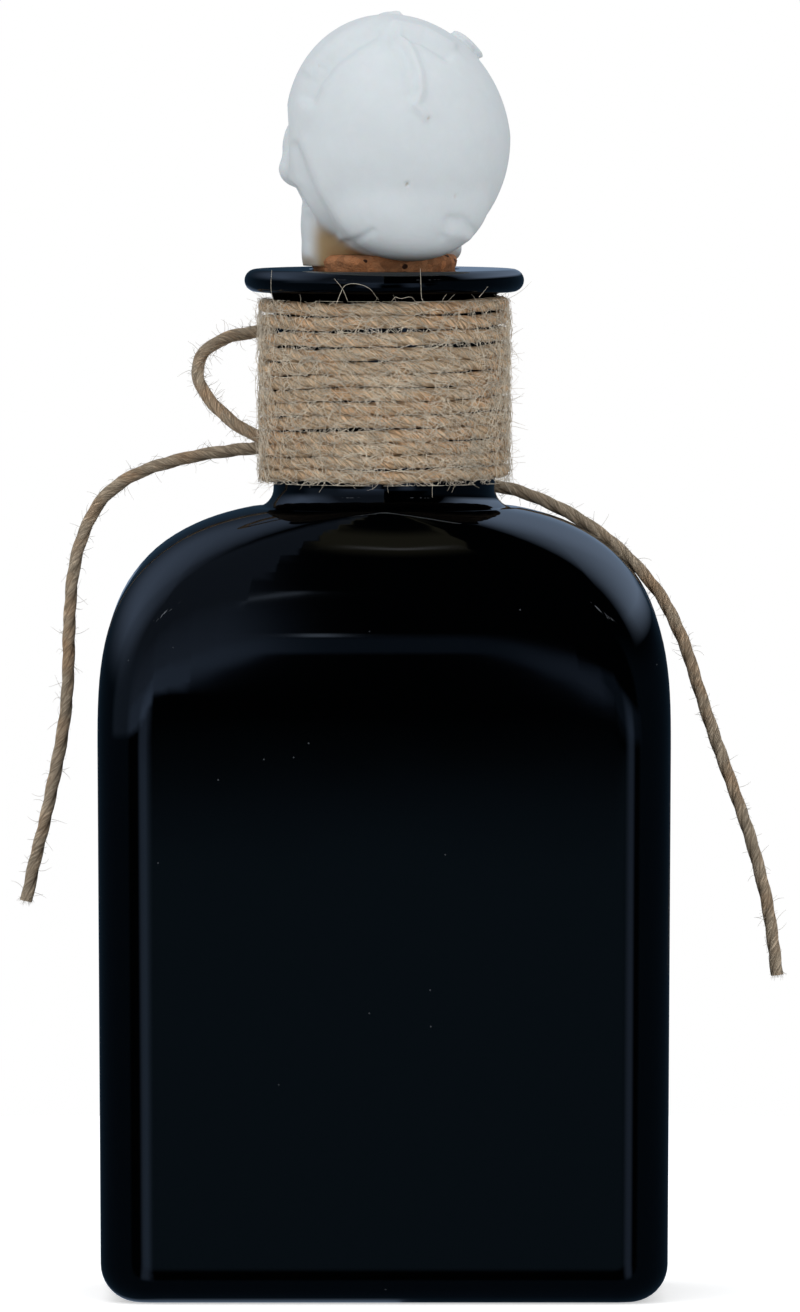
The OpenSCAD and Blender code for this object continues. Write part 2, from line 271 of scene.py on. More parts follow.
def fibre_group():
    """Twisted jute: fibre streaks along the plies and painted shade in the grooves between them.
    The twine's UV map runs along its length in U and follows the plies in V."""
    group, start, end = new_group(
        "Jute Fibres",
        [("Light", "c", (0.4, 0.3, 0.2, 1)), ("Dark", "c", (0.1, 0.07, 0.04, 1)),
         ("Groove Depth", "f", 0.6), ("Streak", "f", 0.8)],
        [("Color", "c"), ("Height", "f")])
    uv = add_node(group, "ShaderNodeTexCoord", (-2200, 300))
    parts = add_node(group, "ShaderNodeSeparateXYZ", (-2000, 300))
    around = add_node(group, "ShaderNodeMath", (-1800, 300), operation="MULTIPLY_ADD")
    around.inputs[1].default_value = 1.15 / 14
    turned = add_node(group, "ShaderNodeMath", (-1600, 300), operation="MULTIPLY")
    turned.inputs[1].default_value = 2 * math.pi
    link(group, uv.outputs["UV"], parts.inputs[0])
    link(group, parts.outputs["X"], around.inputs[0])
    link(group, parts.outputs["Y"], around.inputs[2])
    link(group, around.outputs[0], turned.inputs[0])
    round_it = add_node(group, "ShaderNodeCombineXYZ", (-1000, 300))
    for index, operation in enumerate(("COSINE", "SINE")):
        side = add_node(group, "ShaderNodeMath", (-1400, 300 - 160 * index),
                        operation=operation)
        wide = add_node(group, "ShaderNodeMath", (-1200, 300 - 160 * index),
                        operation="MULTIPLY")
        wide.inputs[1].default_value = 6.0
        link(group, turned.outputs[0], side.inputs[0])
        link(group, side.outputs[0], wide.inputs[0])
        link(group, wide.outputs[0], round_it.inputs[index])
    onward = add_node(group, "ShaderNodeMath", (-1200, 0), operation="MULTIPLY")
    onward.inputs[1].default_value = 0.32
    link(group, parts.outputs["X"], onward.inputs[0])
    link(group, onward.outputs[0], round_it.inputs[2])
    streaks = add_node(group, "ShaderNodeTexNoise", (-800, 300), Scale=1.0, Detail=4.0,
                       Roughness=0.75)
    streaks.inputs["Distortion"].default_value = 0.5
    clumps = add_node(group, "ShaderNodeTexNoise", (-800, 0), Scale=170.0, Detail=3.0)
    # groove mask: painted shade in the grooves between the plies
    groove = add_node(group, "ShaderNodeAttribute", (-800, -300), attribute_name="groove")
    link(group, round_it.outputs[0], streaks.inputs["Vector"])
    link(group, uv.outputs["Object"], clumps.inputs["Vector"])
    fine = map_range(group, (-500, 300), 0.42, 0.62)
    patch = map_range(group, (-500, 0), 0.45, 0.7, 0.0, 0.5)
    link(group, streaks.outputs[0], fine.inputs["Value"])
    link(group, clumps.outputs[0], patch.inputs["Value"])
    depth = add_node(group, "ShaderNodeMath", (-500, -300), operation="MULTIPLY")
    link(group, groove.outputs["Fac"], depth.inputs[0])
    link(group, start.outputs["Groove Depth"], depth.inputs[1])
    streak_part = add_node(group, "ShaderNodeMath", (-250, 300), operation="MULTIPLY")
    link(group, fine.outputs["Result"], streak_part.inputs[0])
    link(group, start.outputs["Streak"], streak_part.inputs[1])
    dark_part = add_node(group, "ShaderNodeMath", (0, 100), operation="MAXIMUM")
    link(group, streak_part.outputs[0], dark_part.inputs[0])
    link(group, depth.outputs[0], dark_part.inputs[1])
    shade = mix_colour(group, (250, 200))
    link(group, dark_part.outputs[0], shade.inputs[MIX_FACTOR])
    link(group, start.outputs["Light"], shade.inputs[MIX_A])
    link(group, start.outputs["Dark"], shade.inputs[MIX_B])
    tone = mix_colour(group, (500, 200), "MULTIPLY")
    tone.inputs[MIX_B].default_value = (1.05, 0.72, 0.46, 1)
    link(group, shade.outputs[MIX_OUT], tone.inputs[MIX_A])
    link(group, patch.outputs["Result"], tone.inputs[MIX_FACTOR])
    rise = add_node(group, "ShaderNodeMath", (250, -200), operation="SUBTRACT")
    rise.inputs[0].default_value = 1.0
    link(group, dark_part.outputs[0], rise.inputs[1])
    link(group, tone.outputs[MIX_OUT], end.inputs["Color"])
    link(group, rise.outputs[0], end.inputs["Height"])
    return group


def bump(tree, place, height, shader, strength, distance):
    made = add_node(tree, "ShaderNodeBump", place, Strength=strength, Distance=distance)
    link(tree, height, made.inputs["Height"])
    link(tree, made.outputs[0], shader.inputs["Normal"])
    return made


def glass_material(looks):
    """Glossy black glass with a slight waviness, dust specks and faint smears."""
    material, tree, shader = new_material(
        "Black Glass", Base_Color=(*looks.glass_colour, 1), Roughness=looks.glass_roughness,
        IOR=1.5)
    smears = use_group(tree, bpy.data.node_groups["Soft Mottle"], (-800, 300),
                       Scale=28.0, Fine_Share=0.25)
    dust = use_group(tree, bpy.data.node_groups["Specks"], (-800, 0),
                     Scale=420.0, Amount=0.09, Size=0.055)
    rough = map_range(tree, (-550, 300), 0.0, 1.0, looks.glass_roughness,
                      looks.glass_roughness + 0.006)
    link(tree, smears.outputs[0], rough.inputs["Value"])
    dusty = add_node(tree, "ShaderNodeMath", (-300, 200), operation="MULTIPLY_ADD")
    dusty.inputs[1].default_value = 0.25
    link(tree, dust.outputs[0], dusty.inputs[0])
    link(tree, rough.outputs["Result"], dusty.inputs[2])
    link(tree, dusty.outputs[0], shader.inputs["Roughness"])
    colour = mix_colour(tree, (-300, 450))
    colour.inputs[MIX_A].default_value = (*looks.glass_colour, 1)
    colour.inputs[MIX_B].default_value = (0.045, 0.048, 0.052, 1)
    link(tree, dust.outputs[0], colour.inputs[MIX_FACTOR])
    link(tree, colour.outputs[MIX_OUT], shader.inputs["Base Color"])
    place = add_node(tree, "ShaderNodeTexCoord", (-1000, -300))
    waves = add_node(tree, "ShaderNodeTexNoise", (-800, -300), Scale=38.0, Detail=1.0)
    link(tree, place.outputs["Object"], waves.inputs["Vector"])
    bump(tree, (-300, -300), waves.outputs[0], shader, 0.005, 0.0012)
    return material


def cork_material(looks):
    """Pressed cork: brown granules, dark pores and a crumbly surface."""
    material, tree, shader = new_material("Cork", Roughness=0.9)
    place = add_node(tree, "ShaderNodeTexCoord", (-1200, 100))
    granules = add_node(tree, "ShaderNodeTexVoronoi", (-900, 300), Scale=700.0)
    granules.inputs["Randomness"].default_value = 1.0
    pores = use_group(tree, bpy.data.node_groups["Specks"], (-900, -250),
                      Scale=620.0, Amount=0.2, Size=0.3)
    tones = use_group(tree, bpy.data.node_groups["Soft Mottle"], (-900, 0),
                      Scale=240.0, Fine_Share=0.5)
    link(tree, place.outputs["Object"], granules.inputs["Vector"])
    base = mix_colour(tree, (-500, 200))
    base.inputs[MIX_A].default_value = (*looks.cork_colour, 1)
    base.inputs[MIX_B].default_value = (0.46, 0.17, 0.06, 1)
    link(tree, tones.outputs[0], base.inputs[MIX_FACTOR])
    one_tone = add_node(tree, "ShaderNodeSeparateColor", (-700, 450))
    shade = map_range(tree, (-500, 450), 0.0, 1.0, 0.75, 1.3)
    link(tree, granules.outputs["Color"], one_tone.inputs[0])
    link(tree, one_tone.outputs[0], shade.inputs["Value"])
    grain = mix_colour(tree, (-250, 200), "MULTIPLY")
    grain.inputs[MIX_FACTOR].default_value = 1.0
    link(tree, base.outputs[MIX_OUT], grain.inputs[MIX_A])
    link(tree, shade.outputs["Result"], grain.inputs[MIX_B])
    dark = mix_colour(tree, (0, 200))
    dark.inputs[MIX_B].default_value = (0.05, 0.018, 0.008, 1)
    link(tree, pores.outputs[0], dark.inputs[MIX_FACTOR])
    link(tree, grain.outputs[MIX_OUT], dark.inputs[MIX_A])
    link(tree, dark.outputs[MIX_OUT], shader.inputs["Base Color"])
    bump(tree, (-250, -250), tones.outputs[0], shader, 0.6, 0.0006)
    return material


def resin_material(looks):
    """Matte cast resin: off-white, faint mottling, fine pits, painted warm shade low down and
    inside the jaw, and tan in the pits of the back.
    """
    material, tree, shader = new_material(
        "Cast Resin", Roughness=0.72, IOR=1.45, Subsurface_Weight=0.12,
        Subsurface_Scale=0.001)
    mottle = use_group(tree, bpy.data.node_groups["Soft Mottle"], (-900, 200),
                       Scale=70.0, Fine_Share=0.35)
    pits = use_group(tree, bpy.data.node_groups["Specks"], (-900, -150),
                     Scale=520.0, Amount=0.02, Size=0.09)
    base = mix_colour(tree, (-500, 200))
    base.inputs[MIX_A].default_value = (*looks.resin_colour, 1)
    base.inputs[MIX_B].default_value = (*[c * 0.93 for c in looks.resin_colour], 1)
    link(tree, mottle.outputs[0], base.inputs[MIX_FACTOR])
    # painted warm shade low down and inside the jaw, and tan in the pits of the back
    shade_and_pit_tan = add_node(tree, "ShaderNodeAttribute", (-900, 450), attribute_name="shade_and_pit_tan")
    tan = mix_colour(tree, (-250, 250))
    tan.inputs[MIX_B].default_value = (0.42, 0.29, 0.15, 1)
    link(tree, shade_and_pit_tan.outputs["Fac"], tan.inputs[MIX_FACTOR])
    link(tree, base.outputs[MIX_OUT], tan.inputs[MIX_A])
    dark = mix_colour(tree, (0, 200))
    dark.inputs[MIX_B].default_value = (0.32, 0.31, 0.29, 1)
    link(tree, pits.outputs[0], dark.inputs[MIX_FACTOR])
    link(tree, tan.outputs[MIX_OUT], dark.inputs[MIX_A])
    link(tree, dark.outputs[MIX_OUT], shader.inputs["Base Color"])
    place = add_node(tree, "ShaderNodeTexCoord", (-900, -500))
    skin = add_node(tree, "ShaderNodeTexNoise", (-650, -500), Scale=420.0, Detail=4.0,
                    Roughness=0.6)
    link(tree, place.outputs["Object"], skin.inputs["Vector"])
    bump(tree, (-250, -400), skin.outputs[0], shader, 0.25, 0.00025)
    return material


def jute_material(name, light, dark, mirrored, groove=0.8):
    """Jute twine. Free twine gets darker and greyer colours than the wound twine. The
    twine has painted shade in its reflections: glossy rays see it darker, in place of its unlit
    underside."""
    material, tree, shader = new_material(name, Roughness=0.92, Sheen_Weight=0.0)
    shader.inputs["Specular IOR Level"].default_value = 0.25
    # groove sets the strength of the painted shade in the grooves between the plies
    fibres = use_group(tree, bpy.data.node_groups["Jute Fibres"], (-500, 100),
                       Light=(*light, 1), Dark=(*dark, 1), Groove_Depth=groove)
    # painted shade: glossy rays see the twine's colour multiplied by the mirrored factor, so the
    # glass shows it dark
    rays = add_node(tree, "ShaderNodeLightPath", (-500, 500))
    reflected_shade = mix_colour(tree, (-200, 250), "MULTIPLY")
    reflected_shade.inputs[MIX_B].default_value = (mirrored, mirrored, mirrored, 1)
    link(tree, rays.outputs["Is Glossy Ray"], reflected_shade.inputs[MIX_FACTOR])
    link(tree, fibres.outputs["Color"], reflected_shade.inputs[MIX_A])
    link(tree, reflected_shade.outputs[MIX_OUT], shader.inputs["Base Color"])
    bump(tree, (-250, -200), fibres.outputs["Height"], shader, 0.8, 0.0003)
    return material


def loose_fibre_material(name, colour):
    """Single jute fibres, paler than the twine, with a change of tone from place to place."""
    material, tree, shader = new_material(name, Roughness=0.8)
    shader.inputs["Specular IOR Level"].default_value = 0.3
    tones = use_group(tree, bpy.data.node_groups["Soft Mottle"], (-600, 0),
                      Scale=420.0, Fine_Share=0.5)
    tint = mix_colour(tree, (-250, 0))
    tint.inputs[MIX_A].default_value = (*colour, 1)
    tint.inputs[MIX_B].default_value = (*[c * 0.36 for c in colour], 1)
    link(tree, tones.outputs[0], tint.inputs[MIX_FACTOR])
    link(tree, tint.outputs[MIX_OUT], shader.inputs["Base Color"])
    return material


def floor_material():
    """Pale floor that reads white to the camera outside the object's shadow."""
    material, tree, shader = new_material(
        "Pale Floor", Base_Color=(0.86, 0.86, 0.86, 1), Roughness=0.9)
    shader.inputs["Specular IOR Level"].default_value = 0.0
    rays = add_node(tree, "ShaderNodeLightPath", (-500, -200))
    seen = add_node(tree, "ShaderNodeMath", (-250, -200), operation="MULTIPLY")
    seen.inputs[1].default_value = 0.5
    link(tree, rays.outputs["Is Camera Ray"], seen.inputs[0])
    shader.inputs["Emission Color"].default_value = (1, 1, 1, 1)
    link(tree, seen.outputs[0], shader.inputs["Emission Strength"])
    return material


# Lofted pieces


def loft(name, rings):
    """Closed skin through a list of rings: a circle is extruded from ring to ring, and
    the first and last rings are filled."""
    fresh_start()
    bpy.ops.mesh.primitive_circle_add(vertices=len(rings[0]), radius=0.01)
    piece = named(bpy.context.object, name)
    bpy.ops.object.mode_set(mode="EDIT")
    mesh = bmesh.from_edit_mesh(piece.data)
    place = mesh.verts.layers.int.new("place")
    for index, vert in enumerate(mesh.verts):
        vert[place] = index
        vert.co = rings[0][index]
    bpy.ops.mesh.edge_face_add()
    bpy.ops.mesh.select_all(action="DESELECT")
    mesh = bmesh.from_edit_mesh(piece.data)
    for edge in mesh.edges:
        edge.select = True
    for face in mesh.faces:
        face.select = False
    bpy.ops.mesh.select_mode(type="EDGE")
    mesh = bmesh.from_edit_mesh(piece.data)
    for edge in mesh.edges:
        edge.select = True
    for ring in rings[1:]:
        bpy.ops.mesh.extrude_edges_move(TRANSFORM_OT_translate={"value": (0, 0, MM)})
        mesh = bmesh.from_edit_mesh(piece.data)
        place = mesh.verts.layers.int["place"]
        for vert in mesh.verts:
            if vert.select:
                vert.co = ring[vert[place]]
    bpy.ops.mesh.edge_face_add()
    bpy.ops.mesh.select_all(action="SELECT")
    bpy.ops.mesh.normals_make_consistent(inside=False)
    bpy.ops.object.mode_set(mode="OBJECT")
    return piece


def flask_directions():
    """Angles of one full turn, close together where the body's corners are."""
    flat = math.atan2(BODY_HALF_D - CORNER_R, BODY_HALF_W)
    steep = math.atan2(BODY_HALF_D, BODY_HALF_W - CORNER_R)
    side = [flat * t for t in (0, 0.22, 0.44, 0.64, 0.8, 0.91, 0.97)]
    corner = [flat + (steep - flat) * i / 13 for i in range(14)]
    rest = math.pi / 2 - steep
    face = [steep + rest * t for t in (0.015, 0.05, 0.11, 0.19, 0.28, 0.38, 0.48, 0.58,
                                       0.68, 0.78, 0.88, 0.96)]
    quarter = side + corner + face + [math.pi / 2]
    first = quarter
    second = [math.pi - a for a in reversed(quarter[:-1])]
    half = first + second
    return half[:-1] + [math.pi + a for a in half[:-1]]


def on_rounded_box(angle, w, d, r):
    """Point where a ray from the middle meets a rounded rectangle."""
    ux, uy = abs(math.cos(angle)), abs(math.sin(angle))
    cx, cy = w - r, d - r
    if ux * cy >= uy * w:
        t = w / ux
    elif uy * cx >= ux * d:
        t = d / uy
    else:
        dot = ux * cx + uy * cy
        t = dot + math.sqrt(max(0.0, dot * dot - cx * cx - cy * cy + r * r))
    return t * math.cos(angle), t * math.sin(angle)


def shoulder_half(z, half, start_z, top_r, top_z):
    if z <= start_z:
        return half
    rise = (top_z - start_z) / (1 - (top_r / half) ** FULLNESS) ** (1 / FULLNESS)
    return half * (1 - ((z - start_z) / rise) ** FULLNESS) ** (1 / FULLNESS)


def flask_ring(angles, z, half_w, half_d, corner, edge, bottom_z, top_r, top_z):
    """One ring of the closed flask shape, with its rounded edge round the bottom."""
    up = min(1.0, (z - bottom_z) / edge)
    tuck = edge * (1 - math.sqrt(max(0.0, 1 - (1 - up) ** 2)))
    narrowing = FOOT_TAPER / 2 * max(0.0, 1 - z / SIDE_CURVE_Z)
    w = shoulder_half(z, half_w, SIDE_CURVE_Z, top_r, top_z) - narrowing - tuck
    d = shoulder_half(z, half_d, FACE_CURVE_Z, top_r, top_z) - tuck
    climb = max(0.0, (z - SIDE_CURVE_Z) / (top_z - SIDE_CURVE_Z))
    r = max(corner + (0.92 * top_r - corner) * climb ** 2 - tuck, 0.0015)
    return [(*on_rounded_box(a, w, d, r), z) for a in angles]


def round_ring(angles, r, z):
    return [(r * math.cos(a), r * math.sin(a), z) for a in angles]


def cork_r_at(z):
    return CORK_TOP_R - CORK_TAPER * (CORK_TOP_Z - z) / (CORK_TOP_Z - CORK_BOTTOM_Z)


def flask_rings():
    """The whole glass skin, from the middle of the base outside to the floor inside."""
    angles = flask_directions()
    ball = (PUNT_R ** 2 + PUNT_H ** 2) / (2 * PUNT_H)
    rings = []
    for t in (0.04, 0.25, 0.5, 0.75, 0.92, 0.99):
        r = PUNT_R * t
        rings.append(round_ring(angles, r, PUNT_H - ball + math.sqrt(ball ** 2 - r ** 2)))
    rings.append(round_ring(angles, PUNT_R, 0.0))
    outside = (BODY_HALF_W, BODY_HALF_D, CORNER_R, BASE_R, 0.0, SHOULDER_R, SHOULDER_Z)
    for i in range(11):
        rings.append(flask_ring(angles, BASE_R * (1 - math.cos(math.pi / 20 * i)), *outside))
    for z in (0.0065, 0.009, 0.016, 0.03, 0.045, 0.06, 0.072, 0.08, 0.085):
        rings.append(flask_ring(angles, z, *outside))
    for i in range(29):
        z = SIDE_CURVE_Z + (SHOULDER_Z - SIDE_CURVE_Z) * math.sin(math.pi / 56 * i)
        rings.append(flask_ring(angles, z, *outside))
    foot_z = SHOULDER_Z + NECK_FILLET
    for i in range(9):
        a = math.radians(262 - 82 * i / 8)
        rings.append(round_ring(angles, NECK_R + NECK_FILLET + NECK_FILLET * math.cos(a),
                                foot_z + NECK_FILLET * math.sin(a)))
    for z in (0.1285, 0.135, 0.145, 0.154, LIP_Z - LIP_T - 0.0012):
        rings.append(round_ring(angles, NECK_R, z))
    rings.append(round_ring(angles, NECK_R + 0.0003, LIP_Z - LIP_T - 0.0004))
    rings.append(round_ring(angles, NECK_R + 0.001, LIP_Z - LIP_T))
    nose = LIP_T / 2
    for i in range(15):
        a = math.radians(-90 + 180 * i / 14)
        rings.append(round_ring(angles, LIP_R - nose + nose * math.cos(a),
                                LIP_Z - nose + nose * math.sin(a)))
    mouth = cork_r_at(LIP_Z) + CORK_GAP
    rings.append(round_ring(angles, mouth + 0.0014, LIP_Z))
    for i in range(6):
        a = math.radians(90 + 90 * i / 5)
        rings.append(round_ring(angles, mouth + 0.0008 + 0.0008 * math.cos(a),
                                LIP_Z - 0.0008 + 0.0008 * math.sin(a)))
    for z in (0.158, 0.15, 0.142, CORK_BOTTOM_Z - 0.0005):
        rings.append(round_ring(angles, cork_r_at(max(z, CORK_BOTTOM_Z)) + CORK_GAP, z))
    rings.append(round_ring(angles, BORE_R, CORK_BOTTOM_Z - 0.0015))
    rings.append(round_ring(angles, BORE_R, 0.13))
    top = SHOULDER_Z - SHOULDER_T
    rings.append(round_ring(angles, BORE_R, top + 0.001))
    rings.append(round_ring(angles, BORE_R + 0.0004, top))
    inside = (BODY_HALF_W - WALL, BODY_HALF_D - WALL, CORNER_R - WALL + MM, BASE_R,
              FLOOR_T, BORE_R + 0.004, top)
    for i in range(14, -1, -1):
        z = SIDE_CURVE_Z + (top - SIDE_CURVE_Z) * math.sin(math.pi / 28 * i)
        rings.append(flask_ring(angles, z, *inside))
    for i in range(8, -1, -1):
        z = FLOOR_T + BASE_R * (1 - math.cos(math.pi / 16 * i))
        rings.append(flask_ring(angles, z, *inside))
    return rings


# Twine


def curve_through(route, step):
    """Evenly spaced points on a smooth curve through the route's points."""
    points = [Vector(p) for p in route]
    points = [points[0] * 2 - points[1]] + points + [points[-1] * 2 - points[-2]]
    fine = []
    for a, b, c, d in zip(points, points[1:], points[2:], points[3:]):
        for i in range(24):
            t = i / 24
            fine.append(0.5 * (2 * b + (c - a) * t + (2 * a - 5 * b + 4 * c - d) * t * t
                               + (3 * b - a - 3 * c + d) * t ** 3))
    fine.append(points[-2])
    spaced = [fine[0]]
    carried = 0.0
    for a, b in zip(fine, fine[1:]):
        gap = (b - a).length
        while carried + gap >= step:
            a = a.lerp(b, (step - carried) / gap)
            gap = (b - a).length
            spaced.append(a.copy())
            carried = 0.0
        carried += gap
    if (spaced[-1] - fine[-1]).length > step * 0.3:
        spaced.append(fine[-1])
    return spaced


def length_of(points):
    return sum((Vector(b) - Vector(a)).length for a, b in zip(points, points[1:]))


TWINE_SIDES = 18


def lay_twine(name, points, sizes, fullness=1.04):
    """Three-ply twine on a line of points: a lobed outline swept along it and turned
    once in each lay of the plies. It gets a UV map and a groove mask, which the
    material uses for painted shade between the plies."""
    groove = []
    outline = bpy.data.curves.new("Ply Outline", "CURVE")
    outline.dimensions = "3D"
    spline = outline.splines.new("POLY")
    spline.points.add(TWINE_SIDES - 1)
    for i in range(TWINE_SIDES):
        a = 2 * math.pi * i / TWINE_SIDES
        lobe = abs(math.cos(1.5 * a)) ** 0.6
        r = TWINE_R * (fullness - sizes.groove * (1 - lobe))
        groove.append((1 - lobe) ** 1.5)
        spline.points[i].co = (r * math.cos(a), r * math.sin(a), 0, 1)
    spline.use_cyclic_u = True
    profile = bpy.data.objects.new("Ply Outline", outline)
    line = bpy.data.curves.new(name, "CURVE")
    line.dimensions = "3D"
    line.twist_mode = "MINIMUM"
    line.bevel_mode = "OBJECT"
    line.bevel_object = profile
    line.use_fill_caps = True
    run = line.splines.new("POLY")
    run.points.add(len(points) - 1)
    along = 0.0
    halfway = math.pi * length_of(points) / sizes.lay
    tilts = []
    for i, point in enumerate(points):
        if i:
            along += (points[i] - points[i - 1]).length
        wander = noise.noise(Vector((along * 90, 3.1, 0.7)))
        tilt = 2 * math.pi * along / sizes.lay - halfway + 0.7 * wander
        tilts.append((along, tilt))
        run.points[i].co = (*point, 1)
        run.points[i].tilt = tilt
        run.points[i].radius = 1 + 0.05 * noise.noise(Vector((along * 160, 7.7, 0.2)))
    piece = bpy.data.objects.new(name, line)
    bpy.context.collection.objects.link(profile)
    bpy.context.collection.objects.link(piece)
    make_active(piece)
    bpy.ops.object.convert(target="MESH")
    piece = named(bpy.context.object, name)
    bpy.data.objects.remove(profile)
    mesh = piece.data
    sides = TWINE_SIDES
    # 1 in the grooves between the plies, where the material paints shade
    mask = mesh.attributes.new("groove", "FLOAT", "POINT")
    mask.data.foreach_set("value", [groove[i % sides] for i in range(len(mesh.vertices))])
    uv = mesh.uv_layers[0] if mesh.uv_layers else mesh.uv_layers.new(name="UVMap")
    for face in mesh.polygons:
        ends = [mesh.loops[k].vertex_index % sides for k in face.loop_indices]
        wraps = max(ends) == sides - 1 and min(ends) == 0 and len(ends) == 4
        for k in face.loop_indices:
            vert = mesh.loops[k].vertex_index
            ring, side = divmod(vert, sides)
            if wraps and side == 0:
                side = sides
            uv.data[k].uv = (tilts[min(ring, len(tilts) - 1)][0] * 1000, side / sides)
    bpy.ops.object.shade_smooth()
    return piece


def wrap_line():
    """Centre line of the wound twine. The turns lie unevenly, the top ones lie a little
    higher, and the end is tucked in behind."""
    steps = 235
    points = []
    for k in range(WRAP_TURNS * steps + 1):
        a = math.pi / 2 + 2 * math.pi * k / steps
        turn = k / steps
        ease = min(1.0, turn * 3, (WRAP_TURNS - turn) * 3)
        sway = Vector((math.cos(a) * 1.5, math.sin(a) * 1.5, turn * 1.3))
        lift = 0.0005 * noise.noise(sway) * ease
        lift += 0.00012 * math.exp(-((turn - 0.5) / 0.42) ** 2)
        lift += 0.00022 * math.exp(-((turn - 1.5) / 0.5) ** 2)
        lift += 0.0008 * math.exp(-((turn - WRAP_TURNS + 0.78) / 0.2) ** 2)
        lift += 0.0004 * math.exp(-((turn - WRAP_TURNS + 1.78) / 0.24) ** 2)
        lift += 0.0004 * math.exp(-((turn - WRAP_TURNS + 0.2) / 0.16) ** 2) * ease
        lift += 0.0005 * smooth_step((turn - WRAP_TURNS + 3.4) / 2.6)
        out = 0.00022 * noise.noise(sway * 1.7 + Vector((5, 1, 9))) * ease
        points.append(Vector(((WRAP_R + out) * math.cos(a), (WRAP_R + out) * math.sin(a),
                              WRAP_Z + WRAP_PITCH * turn + lift)))
    first = [Vector((0.002 - 0.0005 * i, WRAP_R, WRAP_Z)) for i in range(4)]
    last = []
    for i in range(1, 25):
        a = math.pi / 2 + 2 * math.pi * i / steps
        r = WRAP_R - 0.0024 * (i / 24) ** 2
        last.append(Vector((r * math.cos(a), r * math.sin(a),
                            points[-1].z - 0.0016 * (i / 24) ** 1.6)))
    return first + points + last


def fibre_line(rng, start, out, length, curl, points=6):
    """One loose fibre: it leaves the twine and bends as it goes."""
    side = Vector((rng.uniform(-1, 1), rng.uniform(-1, 1), rng.uniform(-1, 1)))
    side = (side - side.dot(out) * out).normalized()
    bend = Vector((rng.uniform(-1, 1), rng.uniform(-1, 1), rng.uniform(-1, 1)))
    line = [start.copy()]
    heading = (out + 0.6 * side).normalized()
    for _ in range(points - 1):
        heading = (heading + curl * bend + 0.25 * curl * Vector(
            (rng.uniform(-1, 1), rng.uniform(-1, 1), rng.uniform(-1, 1)))).normalized()
        line.append(line[-1] + heading * length / (points - 1))
    return line


def fibres_from(points, count, rng, shortest, longest, keep_out, curl=0.32):
    """Fibres that stand off a line of twine."""
    lines = []
    while len(lines) < count:
        i = rng.randrange(2, len(points) - 2)
        along = (points[i + 1] - points[i - 1]).normalized()
        out = Vector((rng.uniform(-1, 1), rng.uniform(-1, 1), rng.uniform(-1, 1)))
        out = (out - out.dot(along) * along).normalized()
        if keep_out and not keep_out(points[i] + out * TWINE_R):
            continue
        lean = (out * 0.55 + along * rng.uniform(-1, 1)).normalized()
        length = shortest + (longest - shortest) * rng.random() ** 2.4
        lines.append(fibre_line(rng, points[i] + out * TWINE_R * 0.85, lean, length, curl))
    return lines


def fuzz_on_winding(count, rng):
    """Fibres that lie nearly flat on the wound twine and cross it every way."""
    lines = []
    top = WRAP_Z + WRAP_PITCH * WRAP_TURNS + 0.0008
    for _ in range(count):
        angle = rng.uniform(0, 2 * math.pi)
        z = WRAP_Z + rng.uniform(0.0, WRAP_PITCH * WRAP_TURNS + 0.0004)
        heading = rng.gauss(0, 0.7) + (math.pi if rng.random() < 0.5 else 0)
        length = rng.uniform(0.0018, 0.0085)
        bend = rng.gauss(0, 0.4)
        rise = 0.00005 + 0.0007 * rng.random() ** 3
        line = []
        for i in range(6):
            r = WRAP_R + 0.001 + rise * math.sin(math.pi * (0.15 + 0.75 * i / 5))
            line.append(Vector((r * math.cos(angle), r * math.sin(angle), z)))
            angle += length / 5 * math.cos(heading) / r
            z += length / 5 * math.sin(heading)
            z = min(max(z, WRAP_Z - 0.0003), top)
            heading += bend + rng.gauss(0, 0.22)
        lines.append(line)
    return lines


def frayed_end(points, count, rng):
    """Fibres that fan out of a cut end."""
    lines = []
    ahead = (points[-1] - points[-4]).normalized()
    for _ in range(count):
        off = Vector((rng.uniform(-1, 1), rng.uniform(-1, 1), rng.uniform(-1, 1)))
        off = off - off.dot(ahead) * ahead
        start = points[-1] - ahead * 0.0006 + off * TWINE_R * 0.75
        heading = (ahead + off * rng.uniform(0.1, 0.55)).normalized()
        lines.append(fibre_line(rng, start, heading, rng.uniform(0.0007, 0.0016), 0.2))
    return lines


# Long single fibres that cross the lip in front: points in millimetres across and
# above the base.
LIP_FIBRES = [
    [(-17.5, 157.6), (-17.9, 160.0), (-17.8, 163.0)],
    [(-5.8, 158.3), (-6.6, 160.2), (-7.9, 161.8)],
    [(-7.6, 157.6), (-6.9, 159.4), (-6.2, 160.7), (-4.5, 161.0), (-2.4, 160.3),
     (-0.9, 158.4)],
    [(6.4, 157.8), (5.9, 158.8), (5.8, 161.0), (5.7, 163.4)],
    [(1.2, 158.2), (1.8, 158.9), (2.6, 158.6), (4.2, 158.9), (5.0, 158.0)],
    [(15.0, 158.7), (15.6, 159.4), (16.4, 160.4)]]


def lip_fibres():
    lines = []
    for flat in LIP_FIBRES:
        route = []
        for x, z in flat:
            nose = math.sqrt(max(0.0, 1 - ((z - 161.0) / 2.6) ** 2))
            reach = 19.9 + 2.6 * nose
            route.append((x * MM, -math.sqrt(reach ** 2 - x ** 2) * MM, z * MM))
        lines.append(curve_through(route, 0.0006))
    return lines


